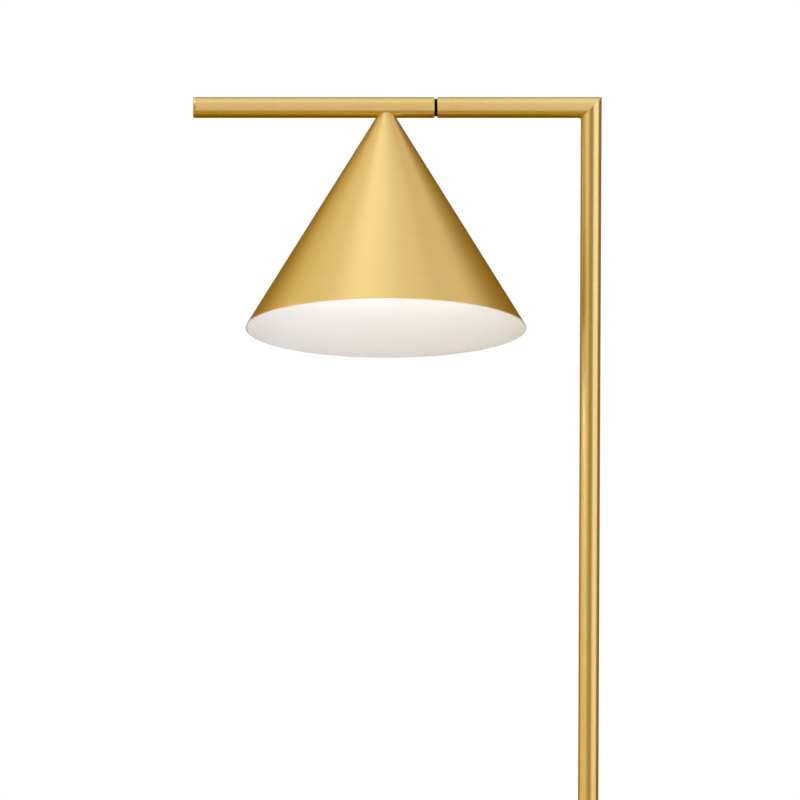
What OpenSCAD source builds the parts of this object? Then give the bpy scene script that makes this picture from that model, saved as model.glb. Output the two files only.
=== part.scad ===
// Reading floor lamp: a round weighted base, one slim post with a mitred arm, and a conical
// shade that turns about the arm. Millimetres, +Z up, the floor at Z = 0, the arm along -X.

/* [Base] */
// Outer diameter of the base cover
base_d = 250; // [215:5:320]
// Thickness of the cast weight
weight_t = 17.5; // [15:0.5:24]
// Sheet thickness of the base cover
cover_wall = 1.5; // [1:0.1:2.5]
// Outside radius of the cover's top edge
cover_edge_r = 5; // [3:0.5:7]
// Thickness of the floor pad
pad_t = 3; // [2:0.5:5]
// Thickness of the bottom plate
plate_t = 2; // [1.5:0.5:3]
// Height of the cover's lower edge above the floor
cover_lift = 1.2; // [0.8:0.1:1.8]
// Distance from the base's edge in to the post's axis
post_inset = 40; // [36:1:50]
// Distance from the base's edge in to the foot button's axis
button_inset = 65; // [55:1:75]
// Bore of the cord inlet bush
inlet_bore_d = 7; // [6:0.5:8]
// Length of the cord inlet bush inside the cover
inlet_l = 16; // [12:1:18]

/* [Post and arm] */
// Height of the arm's axis above the floor
arm_h = 1530; // [1200:10:1700]
// Outer diameter of the post and arm tubes
tube_d = 20; // [18:0.5:26]
// Wall of the post and arm tubes
tube_wall = 1.5; // [1.2:0.1:2]
// Height at which the two lengths of the post are screwed together
post_split_h = 760; // [600:10:900]
// Diameter of the hollow stud that holds the post
stud_d = 10; // [9:0.5:11]
// Outer diameter of the collar at the foot of the post
collar_d = 36; // [30:1:42]
// Height of the collar
collar_h = 6; // [4:0.5:12]
// Outer diameter of the supply lead in the tubes
lead_d = 5; // [4:0.5:5.5]

/* [Swivel] */
// Distance from the post's axis to the middle of the swivel
joint_x = 150; // [120:5:220]
// Width of the black ring between the two arm tubes
ring_w = 3; // [2:0.5:5]
// Depth of the ring below the tubes' surface
ring_recess = 1.5; // [1:0.1:2]
// Wall of the ring
ring_wall = 1.3; // [1:0.1:1.6]
// Chamfer on the tubes' ends beside the ring
end_chamfer = 1; // [0.5:0.1:1.2]
// Length of the plug in each tube
plug_l = 26; // [20:1:32]
// Diameter of the stop pin
pin_d = 1.6; // [1.2:0.1:1.8]

/* [Shade] */
// Distance from the swivel to the shade's axis
shade_from_joint = 48; // [42:1:80]
// Length of the arm beyond the shade's axis
arm_tail = 186; // [150:1:260]
// Outer diameter of the shade's rim
shade_d = 268; // [220:2:330]
// Distance from the arm's axis down to the rim
shade_drop = 218.8; // [195:0.1:280]
// Height of the cone's point above the arm's axis
apex_rise = 6.1; // [5:0.1:8]
// Sheet thickness of the shade
shade_wall = 1; // [0.8:0.1:1.5]
// Tilt of the shade towards the front
shade_tilt = 15.8; // [0:0.1:60]

/* [Lamp holder and bulb] */
// Outer diameter of the lamp holder
holder_d = 40; // [37:1:44]
// Height of the holder's body
holder_h = 34; // [32:1:40]
// Diameter of the hollow nipple that carries the holder
nipple_d = 10; // [9:0.5:11]
// Diameter of the bulb's globe
globe_d = 60; // [45:1:66]
// Length of the bulb below its screw cap
bulb_l = 80; // [72:1:90]

/* [Foot button] */
// Diameter of the button
button_d = 34; // [30:1:38]
// Travel of the button
button_travel = 4; // [3:0.5:5]
// Running clearance of the button in its bezel
button_clear = 0.1; // [0.05:0.01:0.1]

/* [Hidden] */
$fn = 96;
fit = 0.05;            // radial clearance of plugs, studs and turning shafts
slide_gap = 0.05;      // axial clearance between faces that turn on each other
cut = 1;               // how far a cutter runs past the face that it cuts
loose = 0.3;           // radial clearance between parts that must not touch

brass = "#c9a35a";
brass_dark = "#a98743";
steel = "#b9bcc0";
zinc = "#9da3a8";
iron = "#4a4b4d";
black = "#1b1b1c";
white = "#f0efeb";
opal = "#fbf8f0";
copper = "#b5673c";

// Base levels, from the floor up
base_r = base_d / 2;
plate_z = pad_t;
weight_z = plate_z + plate_t;
cover_z = weight_z + weight_t;
base_h = cover_z + cover_wall;
inner_r = base_r - cover_wall - 0.5;
post_x = base_r - post_inset;
button_x = button_inset - base_r;

// Wiring pocket in the weight, below the post
web_t = 4;
pocket_z = cover_z - web_t;
pocket_ahead = 20;
pocket_behind = 62;
pocket_w = 42;
channel_w = 16;
channel_h = 7;
inlet_z = weight_z + 7.5;
inlet_r = inlet_bore_d / 2 + 3;
inlet_flange_r = inlet_r + 1.6;
inlet_flange_t = 2;
plate_screw_r = base_r - 21;
plate_screw_d = 4;

// Post and its fixings
tube_r = tube_d / 2;
bore_r = tube_r - tube_wall;
stud_bore_r = lead_d / 2 + 1;
washer_t = 2;
washer_r = 12;
stud_nut_t = 5;
stud_nut_af = stud_d + 7;
nut_z = pocket_z - washer_t - stud_nut_t;
stud_z = nut_z - 0.5;
foot_plug_l = 25;
stud_top = base_h + foot_plug_l - 5;
coupler_l = 30;
coupler_wall = 2;
coupler_r = bore_r - fit - coupler_wall;
coupler_bore_r = lead_d / 2 + 1.5;
split_chamfer = 0.3;

// Supply lead and its cores
lead_r = lead_d / 2;
lead_bend_r = 4 * lead_d;
core_r = 0.8;
core_pitch = 1.7;
wire_sides = 8;
lead_end_z = stud_z + 1;
core_z = stud_z - 2;
block_l = 22;
block_w = 20;
block_h = pocket_z - weight_z - 1.5;
block_x = post_x - 52;
port_pitch = 4;
port_r = 1.4;

// Swivel, along the arm from the post
ring_r = tube_r - ring_recess;
chamber_r = ring_r - ring_wall;
chamber_l = 4;
pin_at_r = chamber_r - loose - pin_d / 2;
spindle_r = pin_at_r - pin_d / 2 - loose;
spindle_bore_r = lead_r + 0.7;
root_end = joint_x - ring_w / 2;
swivel_start = joint_x + ring_w / 2;
friction_t = 1.2;
spring_t = 0.8;
spring_rise = 1;
spindle_nut_t = 6;
spindle_nut_r = bore_r - 0.4;
friction_x = root_end - plug_l - slide_gap - friction_t;
spring_x = friction_x - spring_t - spring_rise;
spindle_nut_x = spring_x - spindle_nut_t;
spindle_end = spindle_nut_x - 1;
pin_depth = 5;
pin_reach = 3.2;

// Shade and holder, down from the arm's axis
shade_x = joint_x + shade_from_joint;
arm_end = shade_x + arm_tail;
cap_lip = 2.5;
cap_edge_r = 1;
cap_skirt_l = 10;
cone_h = shade_drop + apex_rise;
cone_slope = shade_d / 2 / cone_h;
cone_half = atan(cone_slope);
inner_apex = apex_rise - shade_wall / sin(cone_half);
nipple_r = nipple_d / 2;
nipple_bore_r = nipple_r - 1.5;
bush_r = nipple_r + 1.6;
bush_top = tube_r / 2;
holder_r = holder_d / 2;
holder_wall = 2.2;
holder_clear = 3;
cap_h = 18;
cap_neck_r = nipple_r + 4;
cap_neck_h = 6;
cap_shoulder = (holder_r + holder_clear) / cone_slope - inner_apex;
cap_top = max(tube_r + 4, cap_shoulder - cap_h);
bush_bottom = cap_top;
body_top = cap_top + cap_h + 2;
body_bottom = body_top + holder_h;
disc_t = 9;
disc_bottom = body_top + disc_t;
screw_r = 13.2;
shell_r = screw_r + loose;
shell_t = 0.5;
contact_t = 1.5;
tip_top = disc_bottom + contact_t;
tip_h = 3.5;
screw_l = 21;
screw_pitch = 3.6;
screw_turns = 5;
screw_bottom = tip_top + tip_h + screw_l;
globe_r = globe_d / 2;
globe_at = screw_bottom + bulb_l - globe_r;
neck_r = 14.5;
globe_wall = 1.5;
// The housing's cone meets the globe where it is tangent to it
neck_reach = globe_at - screw_bottom;
neck_far = norm([neck_r, neck_reach]);
tangent_at = atan2(neck_reach, neck_r) - acos(globe_r / neck_far);
tangent_r = globe_r * cos(tangent_at);
tangent_up = globe_r * sin(tangent_at);

// Foot button, down from the top of the cover
button_r = button_d / 2;
bezel_t = 2;
bezel_bore_r = button_r + button_clear;
sleeve_r = button_r + 3;
bezel_r = sleeve_r + 4;
sleeve_l = 8;
retainer_t = 1.5;
retainer_r = button_r + 1.3;
retainer_bore_r = retainer_r + loose;
shoulder_l = 2;
bezel_nut_t = 3.5;
bezel_nut_r = sleeve_r + 3.5;
switch_pocket_r = bezel_nut_r + 1.5;
button_top_l = 1.5 * button_travel;
button_skin = 3;
button_cavity_r = 11;
button_edge_r = 1.5;
plunger_r = 3.5;
switch_r = 15;
switch_top = base_h - sleeve_l - 1.5;
plunger_tip = switch_top - 1.5;
switch_floor = plunger_tip - button_travel - 0.5;
coil_wire_r = 0.6;
coil_r = 8;
coil_turns = 4;
coil_steps = 14;

// ---- Helpers ----

// A place on the arm's axis above the post
module at_arm() {
    translate([post_x, 0, arm_h]) children();
}

// The head's own frame: on the arm's axis above the post, turned to the shade's tilt
module at_head() {
    at_arm() rotate([-shade_tilt, 0, 0]) children();
}

// The shade's axis, in the head's frame
module at_shade() {
    at_head() translate([-shade_x, 0, 0]) children();
}

// The foot button's axis, at the top of the cover
module at_button() {
    translate([button_x, 0, base_h]) children();
}

// A cone or cylinder along the arm, from x0 to x1 away from the post
module rod(x0, x1, r0, r1) {
    translate([-x0, 0, 0]) rotate([0, -90, 0]) cylinder(h = x1 - x0, r1 = r0, r2 = r1);
}

// A tube along the arm with a chamfer c0 at its near end and c1 at its far end
module arm_pipe(x0, x1, c0, c1) {
    difference() {
        union() {
            rod(x0 + c0, x1 - c1, tube_r, tube_r);
            if (c0 > 0) rod(x0, x0 + c0, tube_r - c0, tube_r);
            if (c1 > 0) rod(x1 - c1, x1, tube_r, tube_r - c1);
        }
        rod(x0 - cut, x1 + cut, bore_r, bore_r);
    }
}

// A cylinder along +Z with a bore
module sleeve(h, r, bore) {
    difference() {
        cylinder(h = h, r = r);
        translate([0, 0, -cut]) cylinder(h = h + 2 * cut, r = bore);
    }
}

// A sleeve along the arm
module arm_sleeve(x0, x1, r, bore) {
    translate([-x0, 0, 0]) rotate([0, -90, 0]) sleeve(x1 - x0, r, bore);
}

// A hexagon nut along +Z, by its corner radius
module hex_nut(h, corner_r, bore) {
    difference() {
        cylinder(h = h, r = corner_r, $fn = 6);
        translate([0, 0, -cut]) cylinder(h = h + 2 * cut, r = bore);
    }
}

// A disc with a rounded top edge
module rounded_disc(r, h, edge) {
    rotate_extrude() {
        square([r - edge, h]);
        square([r, h - edge]);
        translate([r - edge, h - edge]) intersection() {
            circle(edge);
            square(edge);
        }
    }
}

// The side of the mitre plane that the post keeps is below it, the arm's above
module mitre_half(side) {
    reach = 4 * tube_d;
    rotate([0, 45, 0]) translate([side * reach / 2, 0, 0]) cube(reach, center = true);
}

function unit(v) = v / norm(v);

// Direction of a path at its point i
function heading(points, i) =
    unit(points[min(i + 1, len(points) - 1)] - points[max(i - 1, 0)]);

// A round wire along a path. level is a direction that the path never follows.
module wire(points, r, level) {
    last = len(points) - 1;
    rings = [for (i = [0:last]) let (t = heading(points, i), u = unit(cross(level, t)))
        for (j = [0:wire_sides - 1]) let (round = 360 * j / wire_sides)
            points[i] + r * (cos(round) * u + sin(round) * cross(t, u))];
    quads = [for (i = [0:last - 1]) for (j = [0:wire_sides - 1])
        [i * wire_sides + j, i * wire_sides + (j + 1) % wire_sides]];
    walls = [for (q = quads) each [[q[0], q[0] + wire_sides, q[1] + wire_sides],
        [q[0], q[1] + wire_sides, q[1]]]];
    ends = [[for (j = [0:wire_sides - 1]) j],
        [for (j = [wire_sides - 1:-1:0]) last * wire_sides + j]];
    polyhedron(points = rings, faces = concat(walls, ends));
}

// ---- Base ----

module base_pad() {
    color(black) cylinder(h = pad_t, r = inner_r);
}

module at_plate_screws() {
    for (turn = [45:90:315]) rotate(turn) translate([plate_screw_r, 0, plate_z]) children();
}

module base_plate() {
    color(zinc) difference() {
        translate([0, 0, plate_z]) cylinder(h = plate_t, r = inner_r);
        at_plate_screws() translate([0, 0, -cut])
            cylinder(h = plate_t + 2 * cut, r = plate_screw_d / 2 + fit);
        at_plate_screws()
            cylinder(h = plate_t, r1 = plate_screw_d + fit, r2 = plate_screw_d / 2 + fit);
    }
}

module plate_screws() {
    color(steel) at_plate_screws() difference() {
        union() {
            cylinder(h = plate_t, r1 = plate_screw_d, r2 = plate_screw_d / 2);
            translate([0, 0, plate_t]) cylinder(h = 8, r = plate_screw_d / 2);
        }
        translate([0, 0, -cut]) cylinder(h = 1.4 + cut, r = 1.5, $fn = 6);
    }
}

module base_weight() {
    color(iron) difference() {
        translate([0, 0, weight_z])
            rounded_disc(inner_r, weight_t, cover_edge_r - cover_wall);
        // Wiring pocket around the stud and the terminal block
        translate([post_x - pocket_behind, -pocket_w / 2, weight_z - cut])
            cube([pocket_behind + pocket_ahead, pocket_w, pocket_z - weight_z + cut]);
        // Channel in to the pocket for the cord, which the inlet bush fills at the edge
        translate([post_x, -inlet_r - fit, weight_z - cut])
            cube([base_r, 2 * (inlet_r + fit), inlet_z + inlet_r + fit - weight_z + cut]);
        // Channel for the wires to the switch
        translate([button_x, -channel_w / 2, weight_z - cut])
            cube([post_x - button_x, channel_w, channel_h + cut]);
        translate([button_x, 0, weight_z - cut])
            cylinder(h = weight_t + 2 * cut, r = switch_pocket_r);
        translate([post_x, 0, weight_z]) cylinder(h = weight_t + cut, r = stud_d / 2 + fit);
        at_plate_screws() translate([0, 0, plate_t]) cylinder(h = 9, r = plate_screw_d / 2 + fit);
    }
}

module base_cover() {
    color(brass) difference() {
        translate([0, 0, cover_lift]) difference() {
            rounded_disc(base_r, base_h - cover_lift, cover_edge_r);
            translate([0, 0, -cut]) rounded_disc(base_r - cover_wall,
                base_h - cover_lift - cover_wall + cut, cover_edge_r - cover_wall);
        }
        translate([post_x, 0, 0]) cylinder(h = base_h + cut, r = stud_d / 2 + fit);
        translate([button_x, 0, 0]) cylinder(h = base_h + cut, r = sleeve_r + fit);
        translate([post_x, 0, inlet_z]) rotate([0, 90, 0])
            cylinder(h = base_r, r = inlet_r + fit);
    }
}

module inlet_bush() {
    color(black) translate([base_r - inlet_l, 0, inlet_z]) rotate([0, 90, 0]) difference() {
        union() {
            cylinder(h = inlet_l, r = inlet_r);
            translate([0, 0, inlet_l]) cylinder(h = inlet_flange_t, r = inlet_flange_r);
        }
        translate([0, 0, -cut])
            cylinder(h = inlet_l + inlet_flange_t + 2 * cut, r = inlet_bore_d / 2);
    }
}

module terminal_block() {
    color(white) difference() {
        translate([block_x, -block_w / 2, weight_z]) cube([block_l, block_w, block_h]);
        for (side = [-1:1]) {
            translate([block_x - cut, side * port_pitch, core_z]) rotate([0, 90, 0])
                cylinder(h = block_l + 2 * cut, r = port_r);
            at_terminals(side) cylinder(h = block_h, r = 1.8 + fit);
        }
    }
}

// The two clamp screws of one way through the terminal block
module at_terminals(side) {
    for (along = [block_l / 4, block_l * 3 / 4])
        translate([block_x + along, side * port_pitch, core_z + port_r]) children();
}

module terminal_screws() {
    color(brass_dark) for (side = [-1:1]) at_terminals(side) difference() {
        cylinder(h = 5, r = 1.8);
        translate([-2, -0.25, 4]) cube([4, 0.5, 1 + cut]);
    }
}

// Three cores from the lead's end, out of the stud and across to the terminal block
module base_cores() {
    color(copper) for (side = [-1:1]) wire([
        [post_x, side * core_pitch, lead_end_z],
        [post_x, side * core_pitch, core_z + 1.6],
        [post_x - 1.6, side * core_pitch, core_z],
        [post_x - 6, side * core_pitch, core_z],
        [block_x + block_l + 3, side * port_pitch, core_z],
        [block_x + block_l - 3, side * port_pitch, core_z]
    ], core_r, [0, 1, 0]);
}

module switch_wires() {
    color(copper) for (side = [-1, 1]) wire([
        [button_x + switch_r - 3, side * port_pitch, core_z],
        [block_x + 3, side * port_pitch, core_z]
    ], core_r, [0, 1, 0]);
}

// ---- Foot button ----

module switch_body() {
    color(black) difference() {
        translate([button_x, 0, weight_z]) cylinder(h = switch_top - weight_z, r = switch_r);
        translate([button_x, 0, switch_floor])
            cylinder(h = switch_top - switch_floor + cut, r = plunger_r + loose);
        for (side = [-1, 1]) translate([button_x + switch_r - 5, side * port_pitch, core_z])
            rotate([0, 90, 0]) cylinder(h = 5 + cut, r = port_r);
    }
}

module button_bezel() {
    color(brass_dark) at_button() difference() {
        union() {
            rounded_disc(bezel_r, bezel_t, bezel_t / 2);
            translate([0, 0, -sleeve_l]) cylinder(h = sleeve_l, r = sleeve_r);
        }
        translate([0, 0, -sleeve_l]) cylinder(h = sleeve_l + bezel_t + cut, r = bezel_bore_r);
        translate([0, 0, -sleeve_l - cut])
            cylinder(h = sleeve_l - shoulder_l + cut, r = retainer_bore_r);
    }
}

module bezel_nut() {
    color(zinc) at_button() translate([0, 0, -cover_wall - bezel_nut_t])
        sleeve(bezel_nut_t, bezel_nut_r, sleeve_r + fit);
}

module foot_button() {
    color(brass) at_button() {
        difference() {
            union() {
                translate([0, 0, -shoulder_l - button_clear - retainer_t])
                    cylinder(h = retainer_t, r = retainer_r);
                translate([0, 0, -shoulder_l - button_clear - retainer_t])
                    rounded_disc(button_r,
                        shoulder_l + button_clear + retainer_t + button_top_l, button_edge_r);
            }
            translate([0, 0, -shoulder_l - button_clear - retainer_t - cut])
                cylinder(h = shoulder_l + button_clear + retainer_t + cut + button_top_l
                    - button_skin, r = button_cavity_r);
        }
        translate([0, 0, plunger_tip - base_h])
            cylinder(h = base_h - plunger_tip + button_top_l - button_skin, r = plunger_r);
    }
}

// Coil of round wire between the switch and the underside of the button
module button_spring() {
    low = switch_top + coil_wire_r;
    high = base_h + button_top_l - button_skin - coil_wire_r;
    steps = coil_turns * coil_steps;
    coil = [for (i = [0:steps]) let (turn = 360 * i / coil_steps)
        [coil_r * cos(turn), coil_r * sin(turn), low + (high - low) * i / steps]];
    color(steel) translate([button_x, 0, 0]) wire(coil, coil_wire_r, [0, 0, 1]);
}

// ---- Post ----

module post_collar() {
    edge = 1;
    color(brass) translate([post_x, 0, base_h]) difference() {
        union() {
            cylinder(h = collar_h - edge, d = collar_d);
            translate([0, 0, collar_h - edge])
                cylinder(h = edge, r1 = collar_d / 2, r2 = collar_d / 2 - edge);
        }
        translate([0, 0, -cut]) cylinder(h = collar_h + 2 * cut, r = tube_r + fit);
    }
}

module post_foot_plug() {
    color(zinc) translate([post_x, 0, base_h])
        sleeve(foot_plug_l, bore_r - fit, stud_d / 2 + fit);
}

module post_stud() {
    color(steel) translate([post_x, 0, stud_z])
        sleeve(stud_top - stud_z, stud_d / 2, stud_bore_r);
}

module stud_washer() {
    color(steel) translate([post_x, 0, pocket_z - washer_t])
        sleeve(washer_t, washer_r, stud_d / 2 + fit);
}

module stud_nut() {
    color(steel) translate([post_x, 0, nut_z])
        hex_nut(stud_nut_t, stud_nut_af / 2 / cos(30), stud_d / 2 + fit);
}

module post_lower_tube() {
    color(brass) translate([post_x, 0, 0]) difference() {
        union() {
            translate([0, 0, base_h])
                cylinder(h = post_split_h - split_chamfer - base_h, r = tube_r);
            translate([0, 0, post_split_h - split_chamfer])
                cylinder(h = split_chamfer, r1 = tube_r, r2 = tube_r - split_chamfer);
        }
        translate([0, 0, base_h - cut])
            cylinder(h = post_split_h - base_h + 2 * cut, r = bore_r);
    }
}

// Threaded socket fixed in the lower tube
module coupler_socket() {
    color(zinc) translate([post_x, 0, post_split_h - coupler_l])
        sleeve(coupler_l, bore_r - fit, coupler_r + fit);
}

// Hollow stud fixed in the upper tube, whose lower half screws into the socket
module coupler_stud() {
    color(steel) translate([post_x, 0, post_split_h]) difference() {
        union() {
            translate([0, 0, 2 - coupler_l]) cylinder(h = coupler_l - 2, r = coupler_r);
            cylinder(h = coupler_l, r = bore_r - fit);
        }
        translate([0, 0, -coupler_l]) cylinder(h = 2 * coupler_l + cut, r = coupler_bore_r);
    }
}

module post_upper_tube() {
    top = arm_h + tube_r;
    color(brass) difference() {
        translate([post_x, 0, 0]) difference() {
            union() {
                translate([0, 0, post_split_h])
                    cylinder(h = split_chamfer, r1 = tube_r - split_chamfer, r2 = tube_r);
                translate([0, 0, post_split_h + split_chamfer])
                    cylinder(h = top - post_split_h - split_chamfer, r = tube_r);
            }
            translate([0, 0, post_split_h - cut])
                cylinder(h = top - post_split_h + 2 * cut, r = bore_r);
        }
        at_arm() mitre_half(-1);
    }
}

module fixed_arm_tube() {
    color(brass) at_arm() difference() {
        arm_pipe(-tube_r, root_end, 0, end_chamfer);
        mitre_half(1);
    }
}

// The lead from the stud up the post, round the corner and out to the swivel
module supply_lead() {
    color(black) {
        translate([post_x, 0, lead_end_z])
            cylinder(h = arm_h - lead_bend_r - lead_end_z, r = lead_r);
        translate([post_x - lead_bend_r, 0, arm_h - lead_bend_r]) rotate([90, 0, 0])
            rotate_extrude(angle = 90) translate([lead_bend_r, 0]) circle(lead_r);
        at_arm() rod(lead_bend_r, joint_x - slide_gap, lead_r, lead_r);
    }
}

// ---- Swivel ----

module root_plug() {
    color(zinc) at_arm() difference() {
        arm_sleeve(root_end - plug_l, root_end, bore_r - fit, spindle_r + fit);
        translate([0, 0, pin_at_r])
            rod(root_end - pin_depth, root_end + cut, pin_d / 2 + fit, pin_d / 2 + fit);
    }
}

// The pin stands above the spindle and runs into the swivel plug's chamber
module stop_pin() {
    color(steel) at_arm() translate([0, 0, pin_at_r])
        rod(root_end - pin_depth, swivel_start + pin_reach, pin_d / 2, pin_d / 2);
}

module joint_ring() {
    color(black) at_arm()
        arm_sleeve(root_end, swivel_start - slide_gap, ring_r, chamber_r);
}

module spindle() {
    color(steel) at_head()
        arm_sleeve(spindle_end, swivel_start + plug_l, spindle_r, spindle_bore_r);
}

module friction_washer() {
    color(brass_dark) at_head()
        arm_sleeve(friction_x, friction_x + friction_t, bore_r - loose, spindle_r + fit);
}

// A dished washer that keeps the swivel's faces pressed together
module spring_washer() {
    inside = spindle_r + fit;
    outside = bore_r - 2 * loose;
    color(steel) at_head() translate([-spring_x, 0, 0]) rotate([0, -90, 0]) rotate_extrude()
        polygon([[inside, 0], [outside, spring_rise], [outside, spring_rise + spring_t],
            [inside, spring_t]]);
}

module spindle_nut() {
    color(steel) at_head() translate([-spindle_nut_x, 0, 0]) rotate([0, -90, 0])
        hex_nut(spindle_nut_t, spindle_nut_r, spindle_r + fit);
}

// The plug's chamber holds the stop pin, and a land across it ends the turn
module swivel_plug() {
    color(zinc) at_head() {
        difference() {
            arm_sleeve(swivel_start, swivel_start + plug_l, bore_r - fit, spindle_r + fit);
            rod(swivel_start - cut, swivel_start + chamber_l, chamber_r, chamber_r);
        }
        intersection() {
            arm_sleeve(swivel_start, swivel_start + chamber_l, chamber_r, spindle_r + fit);
            translate([-swivel_start - chamber_l, -pin_d / 2, -chamber_r])
                cube([chamber_l, pin_d, chamber_r]);
        }
    }
}

module swivel_arm_tube() {
    color(brass) difference() {
        at_head() arm_pipe(swivel_start, arm_end - cap_lip, end_chamfer, 0);
        at_shade() translate([0, 0, -bush_bottom])
            cylinder(h = bush_bottom, r = bush_r + fit);
    }
}

module arm_end_cap() {
    color(brass) at_head() {
        rod(arm_end - cap_lip - cap_skirt_l, arm_end - cap_lip, bore_r - fit, bore_r - fit);
        translate([cap_lip - arm_end, 0, 0]) rotate([0, -90, 0])
            rounded_disc(tube_r, cap_lip, cap_edge_r);
    }
}

module swivel_lead() {
    color(black) at_head() rod(joint_x + slide_gap, shade_x - 9, lead_r, lead_r);
}

// ---- Shade and lamp holder ----

// A spun cone, saddled onto the underside of the swivel tube
module shade() {
    color(brass) difference() {
        at_shade() difference() {
            translate([0, 0, -shade_drop]) cylinder(h = cone_h, r1 = shade_d / 2, r2 = 0);
            translate([0, 0, -shade_drop - cut])
                cylinder(h = shade_drop + inner_apex + cut,
                    r1 = (shade_drop + inner_apex + cut) * cone_slope, r2 = 0);
        }
        at_head() rod(swivel_start, arm_end, tube_r + fit, tube_r + fit);
        at_shade() translate([0, 0, -bush_bottom])
            cylinder(h = bush_bottom, r = bush_r + fit);
    }
}

module holder_bush() {
    color(brass_dark) at_shade() translate([0, 0, -bush_bottom])
        sleeve(bush_bottom - bush_top, bush_r, nipple_r + fit);
}

module holder_nipple() {
    color(steel) at_shade() translate([0, 0, -cap_top - cap_neck_h - 4])
        sleeve(cap_top + cap_neck_h + 4 - bush_top - 1, nipple_r, nipple_bore_r);
}

// Three cores from the swivel lead down the nipple to the contact disc
module holder_cores() {
    color(copper) at_shade() for (side = [-1:1]) wire([
        [9, side * core_pitch, 0],
        [6, side * core_pitch, 0],
        [3.5, side * core_pitch, -0.8],
        [1, side * core_pitch, -2.5],
        [0, side * core_pitch, -6],
        [0, side * core_pitch, -body_top]
    ], core_r, [0, 1, 0]);
}

module holder_cap() {
    flare_h = cap_h - cap_neck_h;
    color(white) at_shade() difference() {
        union() {
            translate([0, 0, -cap_top - cap_neck_h]) cylinder(h = cap_neck_h, r = cap_neck_r);
            translate([0, 0, -cap_top - cap_h])
                cylinder(h = flare_h, r1 = holder_r, r2 = cap_neck_r);
            translate([0, 0, -body_top])
                cylinder(h = body_top - cap_top - cap_h, r = holder_r);
        }
        translate([0, 0, -body_top]) cylinder(h = body_top, r = nipple_r + fit);
        translate([0, 0, -cap_top - cap_h])
            cylinder(h = flare_h - holder_wall, r1 = holder_r - holder_wall, r2 = nipple_r);
        translate([0, 0, -body_top - cut]) cylinder(h = body_top - cap_top - cap_h + cut,
            r = holder_r - holder_wall);
    }
}

module holder_body() {
    lip_h = 3;
    color(white) at_shade() translate([0, 0, -body_bottom]) difference() {
        union() {
            cylinder(h = holder_h, r = holder_r);
            cylinder(h = lip_h, r = holder_r + 1.5);
            for (i = [0:4]) translate([0, 0, lip_h + 3 * (i + 1)])
                rotate_extrude() translate([holder_r, 0]) circle(0.6, $fn = 24);
        }
        translate([0, 0, -cut]) cylinder(h = holder_h + 2 * cut, r = holder_r - holder_wall);
    }
}

module contact_disc() {
    color(white) at_shade() translate([0, 0, -disc_bottom])
        cylinder(h = disc_t, r = holder_r - holder_wall - fit);
}

module screw_shell() {
    color(brass_dark) at_shade() translate([0, 0, -disc_bottom - screw_l])
        sleeve(screw_l, shell_r + shell_t, shell_r);
}

module centre_contact() {
    color(brass_dark) at_shade() translate([0, 0, -disc_bottom - contact_t])
        cylinder(h = contact_t, r = 4);
}

// ---- Bulb ----

module bulb_tip() {
    color(black) at_shade() translate([0, 0, -tip_top - tip_h])
        cylinder(h = tip_h, r1 = screw_r - 1.5, r2 = 5);
}

module bulb_screw_cap() {
    color(steel) at_shade() {
        translate([0, 0, -screw_bottom]) cylinder(h = screw_l, r = screw_r - 0.9);
        for (i = [0:screw_turns - 1]) translate([0, 0, 2.2 + i * screw_pitch - screw_bottom])
            rotate_extrude() translate([screw_r - 0.9, 0]) circle(0.9, $fn = 24);
    }
}

module bulb_housing() {
    color(white) at_shade() difference() {
        translate([0, 0, -globe_at + tangent_up])
            cylinder(h = neck_reach - tangent_up, r1 = tangent_r, r2 = neck_r);
        translate([0, 0, -globe_at + tangent_up - cut])
            cylinder(h = neck_reach - tangent_up - globe_wall + cut,
                r1 = tangent_r - globe_wall, r2 = neck_r - globe_wall);
    }
}

module bulb_globe() {
    color(opal) at_shade() translate([0, 0, -globe_at]) difference() {
        sphere(globe_r);
        sphere(globe_r - globe_wall);
        translate([0, 0, tangent_up + globe_r])
            cube([2 * globe_d, 2 * globe_d, 2 * globe_r], center = true);
    }
}

base_pad();
base_plate();
plate_screws();
base_weight();
base_cover();
inlet_bush();
post_collar();
post_foot_plug();
post_stud();
stud_washer();
stud_nut();
terminal_block();
terminal_screws();
base_cores();
switch_wires();
switch_body();
button_bezel();
bezel_nut();
foot_button();
button_spring();
post_lower_tube();
coupler_socket();
coupler_stud();
post_upper_tube();
fixed_arm_tube();
root_plug();
stop_pin();
joint_ring();
supply_lead();
spindle();
friction_washer();
spring_washer();
spindle_nut();
swivel_plug();
swivel_arm_tube();
arm_end_cap();
swivel_lead();
shade();
holder_bush();
holder_nipple();
holder_cores();
holder_cap();
holder_body();
contact_disc();
screw_shell();
centre_contact();
bulb_tip();
bulb_screw_cap();
bulb_housing();
bulb_globe();
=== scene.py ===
"""Looks of a brass reading floor lamp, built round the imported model's frame.

Each sub-assembly is a class: the studio, the base, the foot switch, the post, the arm, the shade,
the lamp holder and the bulb. A class holds its sizes as fields, takes the rest from the frame, makes
its meshes and dresses them. Everything is in metres and in the frame's own axes.
"""

import logging
import math
from collections.abc import Callable, Mapping, Sequence
from dataclasses import dataclass
from enum import Enum

import bmesh
import bpy
from mathutils import Matrix, Vector


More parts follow.
